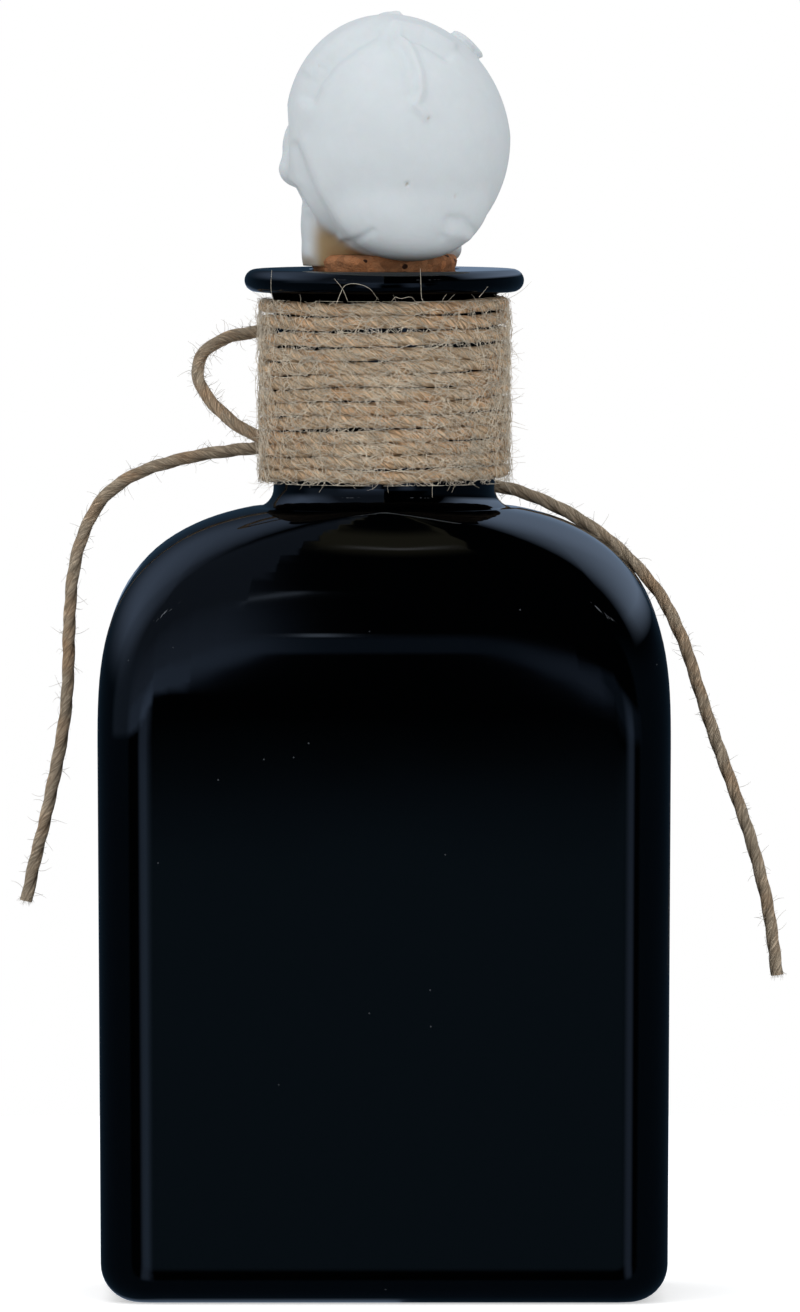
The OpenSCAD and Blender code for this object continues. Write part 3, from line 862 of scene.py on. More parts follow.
def hair_piece(name, lines, thickness, material, body):
    """All the loose fibres of one piece, as thin tapered threads in one mesh."""
    curve = bpy.data.curves.new(name, "CURVE")
    curve.dimensions = "3D"
    curve.bevel_depth = thickness / 2
    curve.bevel_resolution = 0
    for line in lines:
        run = curve.splines.new("POLY")
        run.points.add(len(line) - 1)
        for i, point in enumerate(line):
            run.points[i].co = (*point, 1)
            run.points[i].radius = 1.0 - 0.6 * i / (len(line) - 1)
    piece = bpy.data.objects.new(name, curve)
    bpy.context.collection.objects.link(piece)
    make_active(piece)
    bpy.ops.object.convert(target="MESH")
    piece = named(bpy.context.object, name)
    bpy.ops.object.shade_smooth()
    piece.visible_glossy = False
    dress(piece, material, body, "jute_twine")
    return piece


# Skull, worked in millimetres in its own frame: face towards +Y, x to its side


def ball(centre, half, turn=(0.0, 0.0, 0.0), segments=40):
    fresh_start()
    bpy.ops.mesh.primitive_uv_sphere_add(
        segments=segments, ring_count=segments // 2, radius=1.0, location=centre,
        rotation=[math.radians(t) for t in turn], scale=half)
    return bpy.context.object


def both_sides(centre, half, turn=(0.0, 0.0, 0.0), segments=40):
    mirrored = (-centre[0], centre[1], centre[2])
    return [ball(centre, half, turn, segments),
            ball(mirrored, half, (turn[0], -turn[1], -turn[2]), segments)]


def join(pieces, name):
    fresh_start()
    for piece in pieces:
        piece.select_set(True)
    bpy.context.view_layer.objects.active = pieces[0]
    bpy.ops.object.join()
    bpy.ops.object.transform_apply(location=True, rotation=True, scale=True)
    return named(bpy.context.object, name)


def remesh(piece, voxel, smooth=0):
    make_active(piece)
    bpy.ops.object.modifier_add(type="REMESH")
    modifier = piece.modifiers[-1]
    modifier.mode = "VOXEL"
    modifier.voxel_size = voxel
    bpy.ops.object.modifier_apply(modifier=modifier.name)
    if smooth:
        bpy.ops.object.modifier_add(type="SMOOTH")
        modifier = piece.modifiers[-1]
        modifier.factor = 0.5
        modifier.iterations = smooth
        bpy.ops.object.modifier_apply(modifier=modifier.name)
    return piece


def cut_away(piece, cutter):
    make_active(piece)
    bpy.ops.object.modifier_add(type="BOOLEAN")
    modifier = piece.modifiers[-1]
    modifier.operation = "DIFFERENCE"
    modifier.object = cutter
    modifier.solver = "FAST"
    bpy.ops.object.modifier_apply(modifier=modifier.name)
    bpy.data.objects.remove(cutter)
    return piece


def skull_solid():
    """Braincase and face first, then cheeks, brows and lower jaw, then the hollows."""
    bone = [
        ball((0, -1, 0), (17.7, 20.5, 19.8), segments=72),
        ball((0, 6, 5), (13.5, 13.4, 13)),
        ball((0, -8.8, -8.6), (13.0, 10.8, 10.8)),
        ball((0, 8.0, -10.2), (8.8, 10.4, 6.6)),
        ball((0, 5.5, -14.0), (10.6, 9.0, 5.0))]
    bone += [ball((10.4, -3.4, -11.8), (2.8, 4.0, 3.6)),
             ball((-10.6, 0.2, -12.0), (2.8, 4.0, 3.8))]
    head = remesh(join(bone, "head"), 0.55, 18)
    lobes = [
        head,
        ball((0, 15.6, 2.6), (3.6, 3.2, 2.8)),
        ball((0, 17.0, -2.8), (1.9, 3.0, 4.4), (-14, 0, 0)),
        ball((0, 10.2, -12.8), (7.9, 8.9, 3.6)),
        ball((0, 10.4, -15.1), (7.0, 8.1, 2.0)),
        ball((0, 12.6, -18.4), (7.6, 6.4, 3.2)),
        ball((0, 16.6, -19.0), (3.6, 2.8, 2.2))]
    lobes += both_sides((6.4, 14.3, 3.4), (5.8, 4.2, 2.4), (0, 8, -16))
    lobes += both_sides((11.4, 10.9, -4.6), (4.9, 5.2, 3.5), (0, 14, -24))
    lobes += both_sides((12.4, 12.4, -1.6), (2.8, 3.4, 4.8), (0, 0, -20))
    lobes += both_sides((14.7, 4.4, -5.6), (1.9, 9.2, 1.9), (5, 0, 8))
    lobes += [
        ball((-11.7, 5.4, -13.0), (2.4, 5.2, 9.2), (-10, 0, -4)),
        ball((9.9, 5.8, -12.4), (2.2, 5.0, 8.4), (-10, 11, 4)),
        ball((-11.4, 5.0, -18.6), (2.5, 5.0, 4.6)),
        ball((-9.6, 9.2, -17.8), (3.2, 9.0, 4.4), (4, 0, -24)),
        ball((7.6, 9.8, -17.2), (2.8, 8.6, 3.4), (4, 0, 24)),
        ball((-7.0, 2.6, -15.6), (5.6, 5.4, 4.6))]
    solid = remesh(join(lobes, "skull"), 0.42, 14)
    cuts = both_sides((6.6, 17.4, -1.3), (4.6, 8.2, 4.15), (0, 10, -12))
    cuts += both_sides((1.25, 18.0, -9.4), (1.45, 5.2, 2.0), (0, 14, 0))
    cuts += [ball((0, 18.4, -7.3), (1.35, 4.6, 3.1)),
             ball((0, -5.0, -25.4), (9.0, 7.0, 6.6))]
    cuts += both_sides((21.6, 8.2, 1.4), (6.6, 11.0, 10.0), (0, 6, 6))
    cuts += both_sides((14.8, 12.6, -11.4), (4.6, 6.4, 3.2), (0, 0, -24))
    cuts += both_sides((15.6, 3.4, -9.2), (2.6, 4.6, 2.0))
    cuts += both_sides((15.6, 0.2, -13.2), (2.6, 1.6, 5.6))
    cut_away(solid, remesh(join(cuts, "hollows"), 0.5))
    return remesh(solid, 0.42, 6)


def skull_teeth():
    """Two rows of small rounded teeth along the curve of the jaws."""
    teeth = []
    for k in range(-5, 6):
        a = math.radians(14.5 * k)
        size = 1.0 if abs(k) < 2 else 0.9
        turn = (0, 0, -math.degrees(a))
        teeth.append(ball((7.6 * math.sin(a), 10.6 + 8.3 * math.cos(a), -13.4),
                          (1.06 * size, 0.9, 1.65), turn, 14))
        teeth.append(ball((7.3 * math.sin(a), 10.8 + 7.8 * math.cos(a), -16.7),
                          (1.0 * size, 0.85, 1.5), turn, 14))
    return teeth


def casting_flash():
    """The small flap and the bump that the mould left near the crown."""
    return [ball((12.0, -2.6, 15.2), (2.7, 2.0, 0.75), (0, 43, 0), 20),
            ball((12.6, -2.6, 14.6), (2.7, 1.6, 0.7), (0, 43, 0), 20),
            ball((0.4, 1.2, 19.6), (1.6, 1.5, 0.45), (0, -8, 0), 16),
            ball((1.9, 1.0, 19.75), (0.8, 1.2, 0.5), (0, 4, 0), 16)]


def distance_to_line(x, z, line):
    """Distance of each point of the back view from a broken line."""
    best = np.full(len(x), 9.0)
    for (ax, az), (bx, bz) in zip(line, line[1:]):
        dx, dz = bx - ax, bz - az
        t = np.clip(((x - ax) * dx + (z - az) * dz) / (dx * dx + dz * dz), 0, 1)
        best = np.minimum(best, np.hypot(x - ax - t * dx, z - az - t * dz))
    return best


# Seams on the back of the cranium and the edge behind the temple, in millimetres
# across and above the base, as seen from the back of the bottle.
SEAMS = [
    ([(-1.6, 200.8), (-5.2, 198.8), (-8.6, 196.0), (-11.0, 192.8), (-12.0, 190.4)],
     -1.1, 1.2),
    ([(-2.0, 202.2), (-6.4, 200.2), (-10.0, 197.0), (-12.0, 194.6)], 0.5, 1.0),
    ([(2.2, 200.6), (4.4, 197.4), (5.6, 194.2), (5.8, 191.3), (5.0, 189.2), (6.6, 187.4)],
     0.7, 0.7),
    ([(0.8, 200.2), (3.0, 196.8), (4.0, 193.8), (4.2, 191.2)], -0.35, 0.9),
    ([(1.4, 202.0), (6.4, 201.0), (10.8, 198.4)], 0.6, 0.7),
    ([(1.8, 200.6), (6.2, 199.4), (10.0, 197.0)], -0.8, 0.8)]
RIDGES = [
    ([(-14.2, 182.4), (-11.4, 175.2), (-9.4, 171.9), (-7.6, 168.6)], -0.5, 1.0),
    ([(-12.6, 183.0), (-9.8, 175.6), (-7.6, 172.0), (-6.0, 168.6)], 0.3, 1.3),
    ([(-6.4, 167.2), (-4.6, 167.6), (-1.9, 169.2)], -0.35, 0.6),
    ([(9.4, 168.6), (10.2, 171.2), (12.6, 170.9), (15.2, 167.9)], -0.45, 0.7),
    ([(9.9, 169.0), (12.4, 168.8), (14.2, 167.3)], 0.5, 1.1)]
PITS = [((3.6, 176.8), 0.6, 0.3), ((7.0, 187.1), 0.3, 0.4), ((-10.2, 195.2), 0.15, 0.4),
        ((11.2, 174.8), 0.2, 0.3)]


def vectors_of(items, key):
    values = np.empty(len(items) * 3)
    items.foreach_get(key, values)
    return values.reshape(-1, 3)


def carve_back(mesh):
    """Raise the seams and ridges of the back and sink its pits, point by point. The
    crown leans a little to the left."""
    places = vectors_of(mesh.vertices, "co")
    places[:, 0] -= 0.078 * np.maximum(0, places[:, 2] - 0.184)
    normals = vectors_of(mesh.vertex_normals, "vector")
    x, z = places[:, 0] / MM, places[:, 2] / MM
    facing = np.clip((-0.02 - normals[:, 1]) / 0.35, 0, 1)
    rise = np.zeros(len(places))
    for line, height, width in SEAMS + RIDGES:
        rise += height * np.exp(-(distance_to_line(x, z, line) / width) ** 2)
    for (px, pz), depth, width in PITS:
        rise -= depth * np.exp(-(np.hypot(x - px, z - pz) / width) ** 2)
    places += normals * (rise * facing * MM)[:, None]
    mesh.vertices.foreach_set("co", places.ravel())
    mesh.update()


def shade_and_pit_tan_at(place):
    """Painted warm shade on the resin, low down over the cork and inside the jaw, where shade
    falls, and tan in the pits of the back.
    """
    low = smooth_step((0.1657 - place.z) / 0.0016)
    inside = (smooth_step((0.1725 - place.z) / 0.005) * smooth_step((place.y + 0.011) / 0.003)
              * smooth_step((0.004 - place.y) / 0.004) * smooth_step((place.x + 0.0125) / 0.003)
              * smooth_step((0.004 - place.x) / 0.002))
    pit = 0.0
    for (x, z), depth, width in PITS:
        if place.y < 0 and math.hypot(place.x / MM - x, place.z / MM - z) < 0.24:
            pit = depth
    return max(0.6 * low, inside, pit)


class BottleLooks(bpy.types.PropertyGroup):
    glass_colour: FloatVectorProperty(
        name="Glass Colour", description="Colour of the black glass", subtype="COLOR",
        default=(0.0002, 0.0003, 0.0004), min=0, max=1)
    glass_roughness: FloatProperty(
        name="Glass Roughness", description="How blurred the reflections in the glass are",
        default=0.016, min=0, max=1, subtype="FACTOR")
    cork_colour: FloatVectorProperty(
        name="Cork Colour", description="Colour of the lit cork", subtype="COLOR",
        default=(0.40, 0.19, 0.09), min=0, max=1)
    resin_colour: FloatVectorProperty(
        name="Resin Colour", description="Colour of the cast skull", subtype="COLOR",
        default=(0.67, 0.715, 0.74), min=0, max=1)
    jute_colour: FloatVectorProperty(
        name="Jute Colour", description="Colour of the wound twine", subtype="COLOR",
        default=(0.94, 0.70, 0.46), min=0, max=1)
    # the loop and the hanging ends get a darker, greyer jute colour than the wound twine
    free_jute_colour: FloatVectorProperty(
        name="Free Jute Colour", description="Colour of the loop and the hanging ends",
        subtype="COLOR", default=(0.66, 0.54, 0.40), min=0, max=1)
    fibre_colour: FloatVectorProperty(
        name="Loose Fibre Colour", description="Colour of the fibres that stand off",
        subtype="COLOR", default=(1.0, 0.89, 0.72), min=0, max=1)


class TwineSizes(bpy.types.PropertyGroup):
    lay: FloatProperty(
        name="Lay", description="Length of twine in which a ply goes round once",
        default=0.014, min=0.003, max=0.02, subtype="DISTANCE", unit="LENGTH")
    groove: FloatProperty(
        name="Groove", description="Depth of the grooves between plies, as a share",
        default=0.26, min=0.05, max=0.3, subtype="FACTOR")
    wrap_fibres: IntProperty(
        name="Fibres On Neck", description="Loose fibres on the wound twine",
        default=1900, min=0, max=8000)
    wrap_fuzz: IntProperty(
        name="Flat Fibres", description="Number of loose fibres that lie on the wound twine",
        default=4200, min=0, max=8000)
    free_fibres: IntProperty(
        name="Fibres On Ends", description="Loose fibres on each free length of twine",
        default=480, min=0, max=1000)
    fibre_thickness: FloatProperty(
        name="Fibre Thickness", description="Thickness of one loose fibre at its root",
        default=0.00007, min=0.00002, max=0.0002, subtype="DISTANCE", unit="LENGTH")


class StudioSettings(bpy.types.PropertyGroup):
    camera_distance: FloatProperty(
        name="Camera Distance", description="Distance from the camera to the bottle",
        default=3.58, min=1, max=10, subtype="DISTANCE", unit="LENGTH")
    room_light: FloatProperty(
        name="Room Light", description="Even light from all round", default=0.76, min=0,
        max=2)
    key_light: FloatProperty(
        name="Key Light", description="Power of the soft lamp above", default=3.6, min=0,
        max=50, unit="POWER")


def settings():
    scene = bpy.context.scene
    return scene.bottle_looks, scene.twine_sizes, scene.studio_settings


class BOTTLE_OT_stage(bpy.types.Operator):
    """Camera, world, lamps and the pale floor"""
    bl_idname = "bottle.stage"
    bl_label = "Studio"

    def execute(self, context):
        studio = settings()[2]
        scene = context.scene
        scene.view_settings.view_transform = "Standard"
        self.place_camera(scene, studio.camera_distance)
        self.set_world(scene, studio.room_light)
        self.place_lamps(studio.key_light)
        fresh_start()
        bpy.ops.mesh.primitive_circle_add(vertices=96, radius=0.32, fill_type="NGON",
                                          location=(0, 0.14, -0.00002))
        floor = named(context.object, "floor")
        bpy.ops.object.transform_apply(location=True, rotation=True, scale=True)
        floor.data.materials.append(floor_material())
        floor.visible_glossy = False
        return {"FINISHED"}

    def place_camera(self, scene, distance):
        fresh_start()
        place = Vector((0.0025, -distance, 0.2494))
        target = Vector((0.0025, 0, 0.1013))
        turn = (target - place).to_track_quat("-Z", "Y").to_euler()
        bpy.ops.object.camera_add(location=place, rotation=turn)
        camera = bpy.context.object
        camera.data.sensor_fit = "VERTICAL"
        camera.data.sensor_height = 24
        camera.data.lens = 412.6 * distance / 3.58
        camera.data.clip_end = 50
        scene.camera = camera

    def set_world(self, scene, room_light):
        """White to the camera and straight behind the bottle. Glass sees a pale sky
        light above and behind it, and a dim bluish room elsewhere. Matte surfaces get
        an even light."""
        world = bpy.data.worlds.new("Studio")
        world.use_nodes = True
        scene.world = world
        tree = world.node_tree
        out = tree.nodes["World Output"]
        base = tree.nodes["Background"]
        base.inputs["Color"].default_value = (0.97, 0.985, 1.0, 1)
        base.inputs["Strength"].default_value = room_light
        rays = add_node(tree, "ShaderNodeLightPath", (-700, 700))
        direction = add_node(tree, "ShaderNodeTexCoord", (-1300, 0))
        axis = add_node(tree, "ShaderNodeSeparateXYZ", (-1100, 0))
        link(tree, direction.outputs["Generated"], axis.inputs[0])

        def step(place, letter, low, high, to_low=0.0, to_high=1.0):
            made = map_range(tree, place, low, high, to_low, to_high)
            made.interpolation_type = "SMOOTHSTEP"
            link(tree, axis.outputs[letter], made.inputs["Value"])
            return made.outputs["Result"]

        def times(place, *sources):
            result = sources[0]
            for source in sources[1:]:
                made = add_node(tree, "ShaderNodeMath", place, operation="MULTIPLY")
                link(tree, result, made.inputs[0])
                link(tree, source, made.inputs[1])
                result = made.outputs[0]
            return result

        def mixed(place, operation, first, second):
            made = add_node(tree, "ShaderNodeMath", place, operation=operation)
            link(tree, first, made.inputs[0])
            link(tree, second, made.inputs[1])
            return made.outputs[0]

        def ramp(place, source, low, high, to_low=0.0, to_high=1.0):
            made = map_range(tree, place, low, high, to_low, to_high)
            link(tree, source, made.inputs["Value"])
            return made.outputs["Result"]

        across = add_node(tree, "ShaderNodeMath", (-1050, 200), operation="ABSOLUTE")
        link(tree, axis.outputs["X"], across.inputs[0])
        rightwards = mixed((-1050, 350), "ADD", axis.outputs["X"], axis.outputs["Y"])
        leftwards = mixed((-1050, 500), "SUBTRACT", axis.outputs["Y"], axis.outputs["X"])
        broken = add_node(tree, "ShaderNodeTexNoise", (-1050, -600), Scale=22.0, Detail=2.0)
        link(tree, direction.outputs["Generated"], broken.inputs["Vector"])
        steepness = mixed((-850, 600), "DIVIDE", axis.outputs["Z"], axis.outputs["X"])
        fading = ramp((-850, 650), axis.outputs["Y"], 0.15, 0.96, 1.0, 0.05)
        in_front = step((-850, 720), "Y", -0.6, -0.8)
        arch = mixed((-850, 870), "ADD", mixed(
            (-850, 900), "ADD", axis.outputs["Z"],
            ramp((-1050, 870), axis.outputs["X"], 0.0036, 0.0088, 0.0, 0.104)),
            ramp((-1050, 900), axis.outputs["X"], -0.006, -0.0095, 0.0, 0.0895))
        above_arch = ramp((-650, 870), arch, 0.060, 0.076)
        curved = mixed((-1050, 960), "MULTIPLY", axis.outputs["X"], axis.outputs["X"])
        bow = mixed((-850, 920), "SUBTRACT", axis.outputs["Z"],
                    ramp((-1050, 920), curved, 0.0, 0.000007, 0.0, 0.045))
        slope = mixed((-850, 940), "SUBTRACT", axis.outputs["Z"],
                      ramp((-1050, 940), axis.outputs["X"], -0.0085, -0.0045, 0.0, 0.11))
        ellipse = mixed((-850, 970), "SUBTRACT", axis.outputs["Z"],
                        ramp((-1050, 970), curved, 0.0, 0.00006, 0.0, 0.28))
        parts = (
            # a dim room to the sides and behind
            ((0.018, 0.036, 0.06), times(
                (-600, 400), step((-850, 400), "Z", 0.5, 0.15),
                step((-850, 450), "Y", -0.76, -0.66))),
            # sky light, stronger on the right
            ((1.9, 2.5, 3.5), times(
                (-600, 550), ramp((-850, 600), axis.outputs["Y"], 0.15, 0.96, 1.0, 0.16),
                ramp((-850, 800), steepness, 0.43, 0.72),
                ramp((-850, 500), rightwards, 0.5, 1.45))),
            ((0.62, 0.84, 1.25), times(
                (-600, 700), fading, step((-850, 830), "Z", 0.1, 0.6),
                ramp((-850, 550), leftwards, 0.25, 1.05))),
            # soft upright bands near the front edges
            ((0.22, 0.31, 0.48), times(
                (-600, 0), in_front, step((-850, -100), "X", -0.02, -0.18),
                step((-850, -150), "X", -0.42, -0.26), step((-850, -250), "Z", 0.05, -0.03))),
            ((0.22, 0.31, 0.48), times(
                (-600, -100), in_front, step((-850, -200), "X", 0.20, 0.38),
                step((-850, -220), "X", 0.58, 0.44), step((-850, -250), "Z", 0.05, -0.03))),
            # low arch of light over the front of the shoulder, with wings to both sides
            ((0.05, 0.08, 0.13), times(
                (-600, 150), in_front, above_arch, ramp((-850, 200), arch, 0.150, 0.118))),
            ((0.09, 0.12, 0.19), times(
                (-600, 180), in_front, above_arch, ramp((-850, 280), arch, 0.17, 0.10),
                ramp((-850, 320), axis.outputs["X"], 0.0040, 0.0075),
                ramp((-850, 340), axis.outputs["X"], 0.03, 0.01))),
            ((0.12, 0.17, 0.27), times(
                (-600, 200), in_front, above_arch, ramp((-850, 300), arch, 0.45, 0.08),
                ramp((-850, 350), axis.outputs["X"], -0.0035, -0.0075))),
            # dim light that fills the left of the shoulder
            ((0.10, 0.135, 0.20), times(
                (-600, 220), above_arch, step((-850, 370), "Y", 0.1, -0.2),
                ramp((-850, 380), axis.outputs["X"], -0.0050, -0.0078))),
            # short streaks of light on the shoulder
            ((0.9, 1.1, 1.4), times(
                (-600, 230), step((-850, 385), "X", -0.0085, -0.0050),
                step((-850, 386), "X", -0.0043, -0.0047), ramp((-850, 387), slope, 0.275, 0.287),
                ramp((-850, 388), slope, 0.305, 0.290))),
            ((0.9, 1.1, 1.4), times(
                (-600, 240), step((-850, 389), "X", -0.0047, -0.0040),
                step((-850, 390), "X", -0.0026, -0.0034), step((-850, 391), "Z", 0.128, 0.136),
                step((-850, 392), "Z", 0.152, 0.140))),
            ((0.6, 0.62, 0.68), times(
                (-600, 250), ramp((-850, 393), across.outputs[0], 0.0026, 0.0016),
                ramp((-850, 394), bow, 0.748, 0.755), ramp((-850, 395), bow, 0.772, 0.765),
                step((-850, 396), "Y", 0.0, -0.2))),
            # the room straight in front
            ((0.055, 0.096, 0.14), times(
                (-600, -300), step((-850, -350), "Y", -0.93, -0.99),
                step((-850, -400), "Z", -0.0435, -0.051))),
            # painted reflection of the twine: a brown patch that the glass shows on the foot of
            # the neck
            ((0.16, 0.15, 0.10), times(
                (-600, -350), ramp((-850, -450), ellipse, 0.68, 0.76),
                ramp((-850, -480), ellipse, 0.92, 0.86), step((-850, -490), "Y", 0.0, -0.2),
                ramp((-850, -495), across.outputs[0], 0.03, 0.015))),
            # broken strip of light high in front
            ((2.4, 2.6, 2.9), times(
                (-600, -450), step((-850, -500), "Z", 0.53, 0.55),
                step((-850, -550), "Z", 0.585, 0.565), step((-850, -600), "Y", -0.45, -0.6),
                ramp((-850, -700), across.outputs[0], 0.32, 0.38),
                ramp((-850, -650), broken.outputs[0], 0.56, 0.63))))
        total = None
        for index, (colour, mask) in enumerate(parts):
            tint = mix_colour(tree, (-350, 400 - 180 * index))
            tint.inputs[MIX_A].default_value = (0, 0, 0, 1)
            tint.inputs[MIX_B].default_value = (*colour, 1)
            tint.clamp_factor = True
            link(tree, mask, tint.inputs[MIX_FACTOR])
            if total is None:
                total = tint.outputs[MIX_OUT]
                continue
            both = mix_colour(tree, (-150, 400 - 180 * index), "ADD")
            both.inputs[MIX_FACTOR].default_value = 1.0
            link(tree, total, both.inputs[MIX_A])
            link(tree, tint.outputs[MIX_OUT], both.inputs[MIX_B])
            total = both.outputs[MIX_OUT]
        mirrored = add_node(tree, "ShaderNodeBackground", (50, 0))
        link(tree, total, mirrored.inputs["Color"])
        white = add_node(tree, "ShaderNodeBackground", (50, 300), Color=(1, 1, 1, 1))
        sharp = add_node(tree, "ShaderNodeMath", (-450, 700), operation="MAXIMUM")
        link(tree, rays.outputs["Is Glossy Ray"], sharp.inputs[0])
        link(tree, rays.outputs["Is Transmission Ray"], sharp.inputs[1])
        first = add_node(tree, "ShaderNodeMixShader", (300, 100))
        link(tree, sharp.outputs[0], first.inputs[0])
        link(tree, base.outputs[0], first.inputs[1])
        link(tree, mirrored.outputs[0], first.inputs[2])
        second = add_node(tree, "ShaderNodeMixShader", (500, 200))
        link(tree, rays.outputs["Is Camera Ray"], second.inputs[0])
        link(tree, first.outputs[0], second.inputs[1])
        link(tree, white.outputs[0], second.inputs[2])
        link(tree, second.outputs[0], out.inputs["Surface"])

    def lamp(self, name, place, size, power):
        """Soft square lamp that points at the bottle and doesn't show in the glass."""
        fresh_start()
        place = Vector(place)
        turn = (Vector((0, 0, 0.12)) - place).to_track_quat("-Z", "Y").to_euler()
        bpy.ops.object.light_add(type="AREA", location=place, rotation=turn)
        lamp = named(bpy.context.object, name)
        lamp.data.shape = "SQUARE"
        lamp.data.size = size
        lamp.data.energy = power
        lamp.visible_glossy = False

    def place_lamps(self, key):
        self.lamp("top softbox", (-0.3, -0.45, 1.1), 1.0, key)
        self.lamp("front fill", (0.3, -1.6, 0.5), 0.8, key * 0.9)


class BOTTLE_OT_free_twine(bpy.types.Operator):
    """The loop and the two hanging ends of the twine"""
    bl_idname = "bottle.free_twine"
    bl_label = "Free Twine"

    def execute(self, context):
        looks, sizes, _ = settings()
        # the last value darkens the free twine as the glass sees it: painted shade
        material = jute_material("Free Jute", looks.free_jute_colour,
                                 (0.10, 0.07, 0.042), 0.6)
        fibre = loose_fibre_material("Free Fibre", [c * 0.55 for c in looks.fibre_colour])
        rng = random.Random(41)
        for name, route, far_end in (
                ("twine_loop", LOOP_ROUTE, "object"),
                ("twine_tail_left", TAIL_LEFT_ROUTE, "bare"),
                ("twine_tail_right", TAIL_RIGHT_ROUTE, "bare")):
            points = curve_through(route, 0.0004)
            piece = lay_twine(name + "_twisted", points, sizes)
            dress(piece, material, "flask", "jute_twine", name)
            [tuple(p) for p in curve_through(route, 0.002)]
            lines = fibres_from(points, sizes.free_fibres, rng, 0.0004, 0.0028, None, 0.45)
            if far_end == "bare":
                lines += frayed_end(points, 40, rng)
            if name == "twine_tail_right":
                lines += fibres_from(points[20:75], 60, rng, 0.001, 0.0045, None, 0.8)
            hair_piece(name + "_fibres", lines, sizes.fibre_thickness, fibre, "flask")
        return {"FINISHED"}


class BOTTLE_OT_wound_twine(bpy.types.Operator):
    """The twine wound round the neck, with its loose fibres"""
    bl_idname = "bottle.wound_twine"
    bl_label = "Wound Twine"

    def execute(self, context):
        looks, sizes, _ = settings()
        # the last value darkens the wound twine as the glass sees it: painted shade
        material = jute_material("Wound Jute", looks.jute_colour,
                                 (0.10, 0.064, 0.035), 0.1)
        points = wrap_line()
        piece = lay_twine("twine_wrap_twisted", points, sizes, 1.11)
        dress(piece, material, "flask", "jute_twine", "twine_wrap")
        fibre = loose_fibre_material("Loose Fibre", looks.fibre_colour)
        rng = random.Random(17)

        def outside(point):
            return math.hypot(point.x, point.y) > WRAP_R + 0.0002

        lines = fibres_from(points, sizes.wrap_fibres, rng, 0.0007, 0.0042, outside, 0.45)
        lines += fibres_from(points, sizes.wrap_fibres // 20, rng, 0.003, 0.006, outside, 0.6)
        lines += fibres_from(points[:240], sizes.wrap_fibres // 20, rng, 0.0015, 0.0045,
                             outside, 0.6)
        hair_piece("twine_wrap_fibres", lines, sizes.fibre_thickness, fibre, "flask")
        hair_piece("twine_wrap_fuzz", fuzz_on_winding(sizes.wrap_fuzz, rng),
                   sizes.fibre_thickness * 1.3, fibre, "flask")
        hair_piece("lip_fibres", lip_fibres(), sizes.fibre_thickness * 1.4, fibre, "flask")
        return {"FINISHED"}


class BOTTLE_OT_glass(bpy.types.Operator):
    """The black glass flask with its neck, lip, bore and cavity"""
    bl_idname = "bottle.glass"
    bl_label = "Glass Flask"

    def execute(self, context):
        looks = settings()[0]
        flask = loft("black_flask", flask_rings())
        make_active(flask)
        bpy.ops.object.shade_smooth()
        bpy.ops.object.modifier_add(type="WEIGHTED_NORMAL")
        bpy.ops.object.modifier_apply(modifier=flask.modifiers[-1].name)
        dress(flask, glass_material(looks), "flask", "black_glass", "bottle")
        return {"FINISHED"}


class BOTTLE_OT_cork(bpy.types.Operator):
    """The cork in the neck"""
    bl_idname = "bottle.cork"
    bl_label = "Cork"

    def execute(self, context):
        looks = settings()[0]
        angles = [2 * math.pi * i / 96 for i in range(96)]
        rings = []
        foot = cork_r_at(CORK_BOTTOM_Z)
        for r, z in ((0.002, 0.0), (foot * 0.6, 0.0), (foot - 0.0008, 0.0),
                     (foot - 0.0002, 0.0003), (foot, 0.0008)):
            rings.append(round_ring(angles, r, CORK_BOTTOM_Z + z))
        for i in range(1, 15):
            z = CORK_BOTTOM_Z + (LIP_Z - CORK_BOTTOM_Z) * i / 15
            rings.append(round_ring(angles, cork_r_at(z), z))
        for dz, dr in ((0.0, 0.0), (0.0006, 0.0003), (0.0013, 0.0005), (0.0019, 0.0003),
                       (0.0023, -0.0002), (0.0024, -0.0012), (0.0024, -0.004),
                       (0.0024, -0.008)):
            rings.append(round_ring(angles, CORK_TOP_R + dr, LIP_Z + dz))
        cork = loft("stopper_cork", rings)
        for vert in cork.data.vertices:
            above = smooth_step((vert.co.z - LIP_Z - 0.0002) / 0.0008)
            rough = noise.noise(vert.co * 900) * 0.00028 + noise.noise(vert.co * 320) * 0.0002
            out = Vector((vert.co.x, vert.co.y, 0))
            if out.length > 0.004:
                vert.co += out.normalized() * rough * (0.1 + 0.9 * above)
        cork.data.update()
        make_active(cork)
        bpy.ops.object.shade_smooth()
        dress(cork, cork_material(looks), "stopper", "cork", "cork")
        return {"FINISHED"}


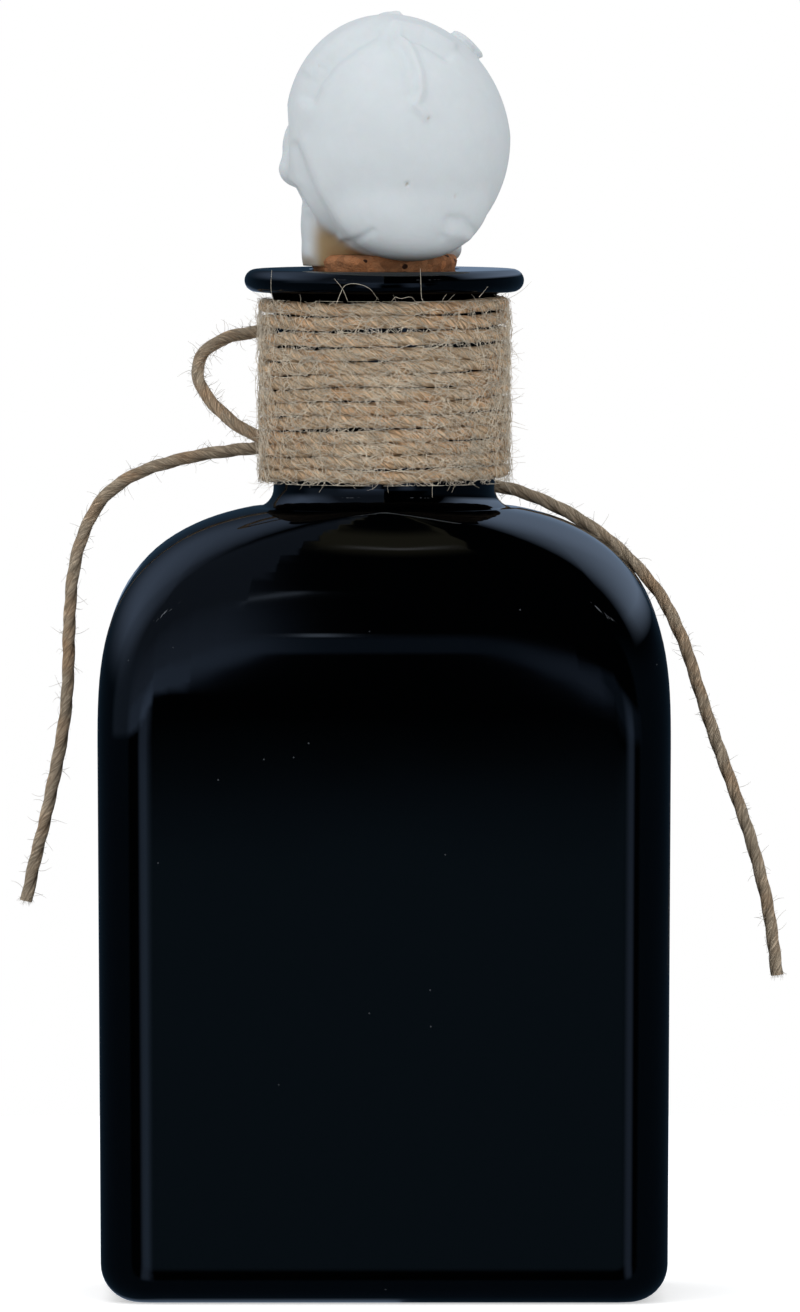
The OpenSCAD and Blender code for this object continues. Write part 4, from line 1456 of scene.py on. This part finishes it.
class BOTTLE_OT_skull(bpy.types.Operator):
    """The cast skull on the cork"""
    bl_idname = "bottle.skull"
    bl_label = "Cast Skull"

    def execute(self, context):
        looks = settings()[0]
        skull = remesh(join([skull_solid()] + skull_teeth() + casting_flash(), "cast_skull"),
                       0.34, 2)
        make_active(skull)
        skull.matrix_world = (Matrix.Translation(SKULL_MID)
                              @ Matrix.Rotation(SKULL_TURN, 4, "Z") @ Matrix.Scale(MM, 4))
        bpy.ops.object.transform_apply(location=True, rotation=True, scale=True)
        bpy.ops.object.mode_set(mode="EDIT")
        bpy.ops.mesh.select_all(action="SELECT")
        bpy.ops.mesh.bisect(plane_co=(0, 0, JAW_Z), plane_no=(0, 0, -1), use_fill=True,
                            clear_outer=True)
        bpy.ops.object.mode_set(mode="OBJECT")
        carve_back(skull.data)
        # painted warm shade low down and inside the jaw, and tan in the pits of the back
        shade_and_pit_tan = skull.data.attributes.new("shade_and_pit_tan", "FLOAT", "POINT")
        shade_and_pit_tan.data.foreach_set("value", [shade_and_pit_tan_at(v.co) for v in skull.data.vertices])
        make_active(skull)
        bpy.ops.object.shade_smooth()
        dress(skull, resin_material(looks), "stopper", "cast_resin", "skull")
        return {"FINISHED"}


class BOTTLE_PT_panel(bpy.types.Panel):
    """Buttons and sizes in the sidebar"""
    bl_label = "Poison Bottle"
    bl_idname = "BOTTLE_PT_panel"
    bl_space_type = "VIEW_3D"
    bl_region_type = "UI"
    bl_category = "Bottle"

    def draw(self, context):
        layout = self.layout
        for operator in OPERATORS:
            layout.operator(operator.bl_idname)
        for group in settings():
            box = layout.box()
            for name in group.bl_rna.properties.keys():
                if name not in ("rna_type", "name"):
                    box.prop(group, name)


OPERATORS = (BOTTLE_OT_stage, BOTTLE_OT_free_twine, BOTTLE_OT_wound_twine,
             BOTTLE_OT_glass, BOTTLE_OT_cork, BOTTLE_OT_skull)
CLASSES = (BottleLooks, TwineSizes, StudioSettings) + OPERATORS + (BOTTLE_PT_panel,)


def register():
    for cls in CLASSES:
        bpy.utils.register_class(cls)
    bpy.types.Scene.bottle_looks = PointerProperty(type=BottleLooks)
    bpy.types.Scene.twine_sizes = PointerProperty(type=TwineSizes)
    bpy.types.Scene.studio_settings = PointerProperty(type=StudioSettings)


def unregister():
    del bpy.types.Scene.studio_settings
    del bpy.types.Scene.twine_sizes
    del bpy.types.Scene.bottle_looks
    for cls in reversed(CLASSES):
        bpy.utils.unregister_class(cls)


def main():
    register()
    mottle_group()
    speck_group()
    fibre_group()
    bpy.ops.bottle.stage()
    bpy.ops.bottle.free_twine()
    bpy.ops.bottle.wound_twine()
    bpy.ops.bottle.glass()
    bpy.ops.bottle.cork()
    bpy.ops.bottle.skull()


if __name__ == "__main__":
    main()
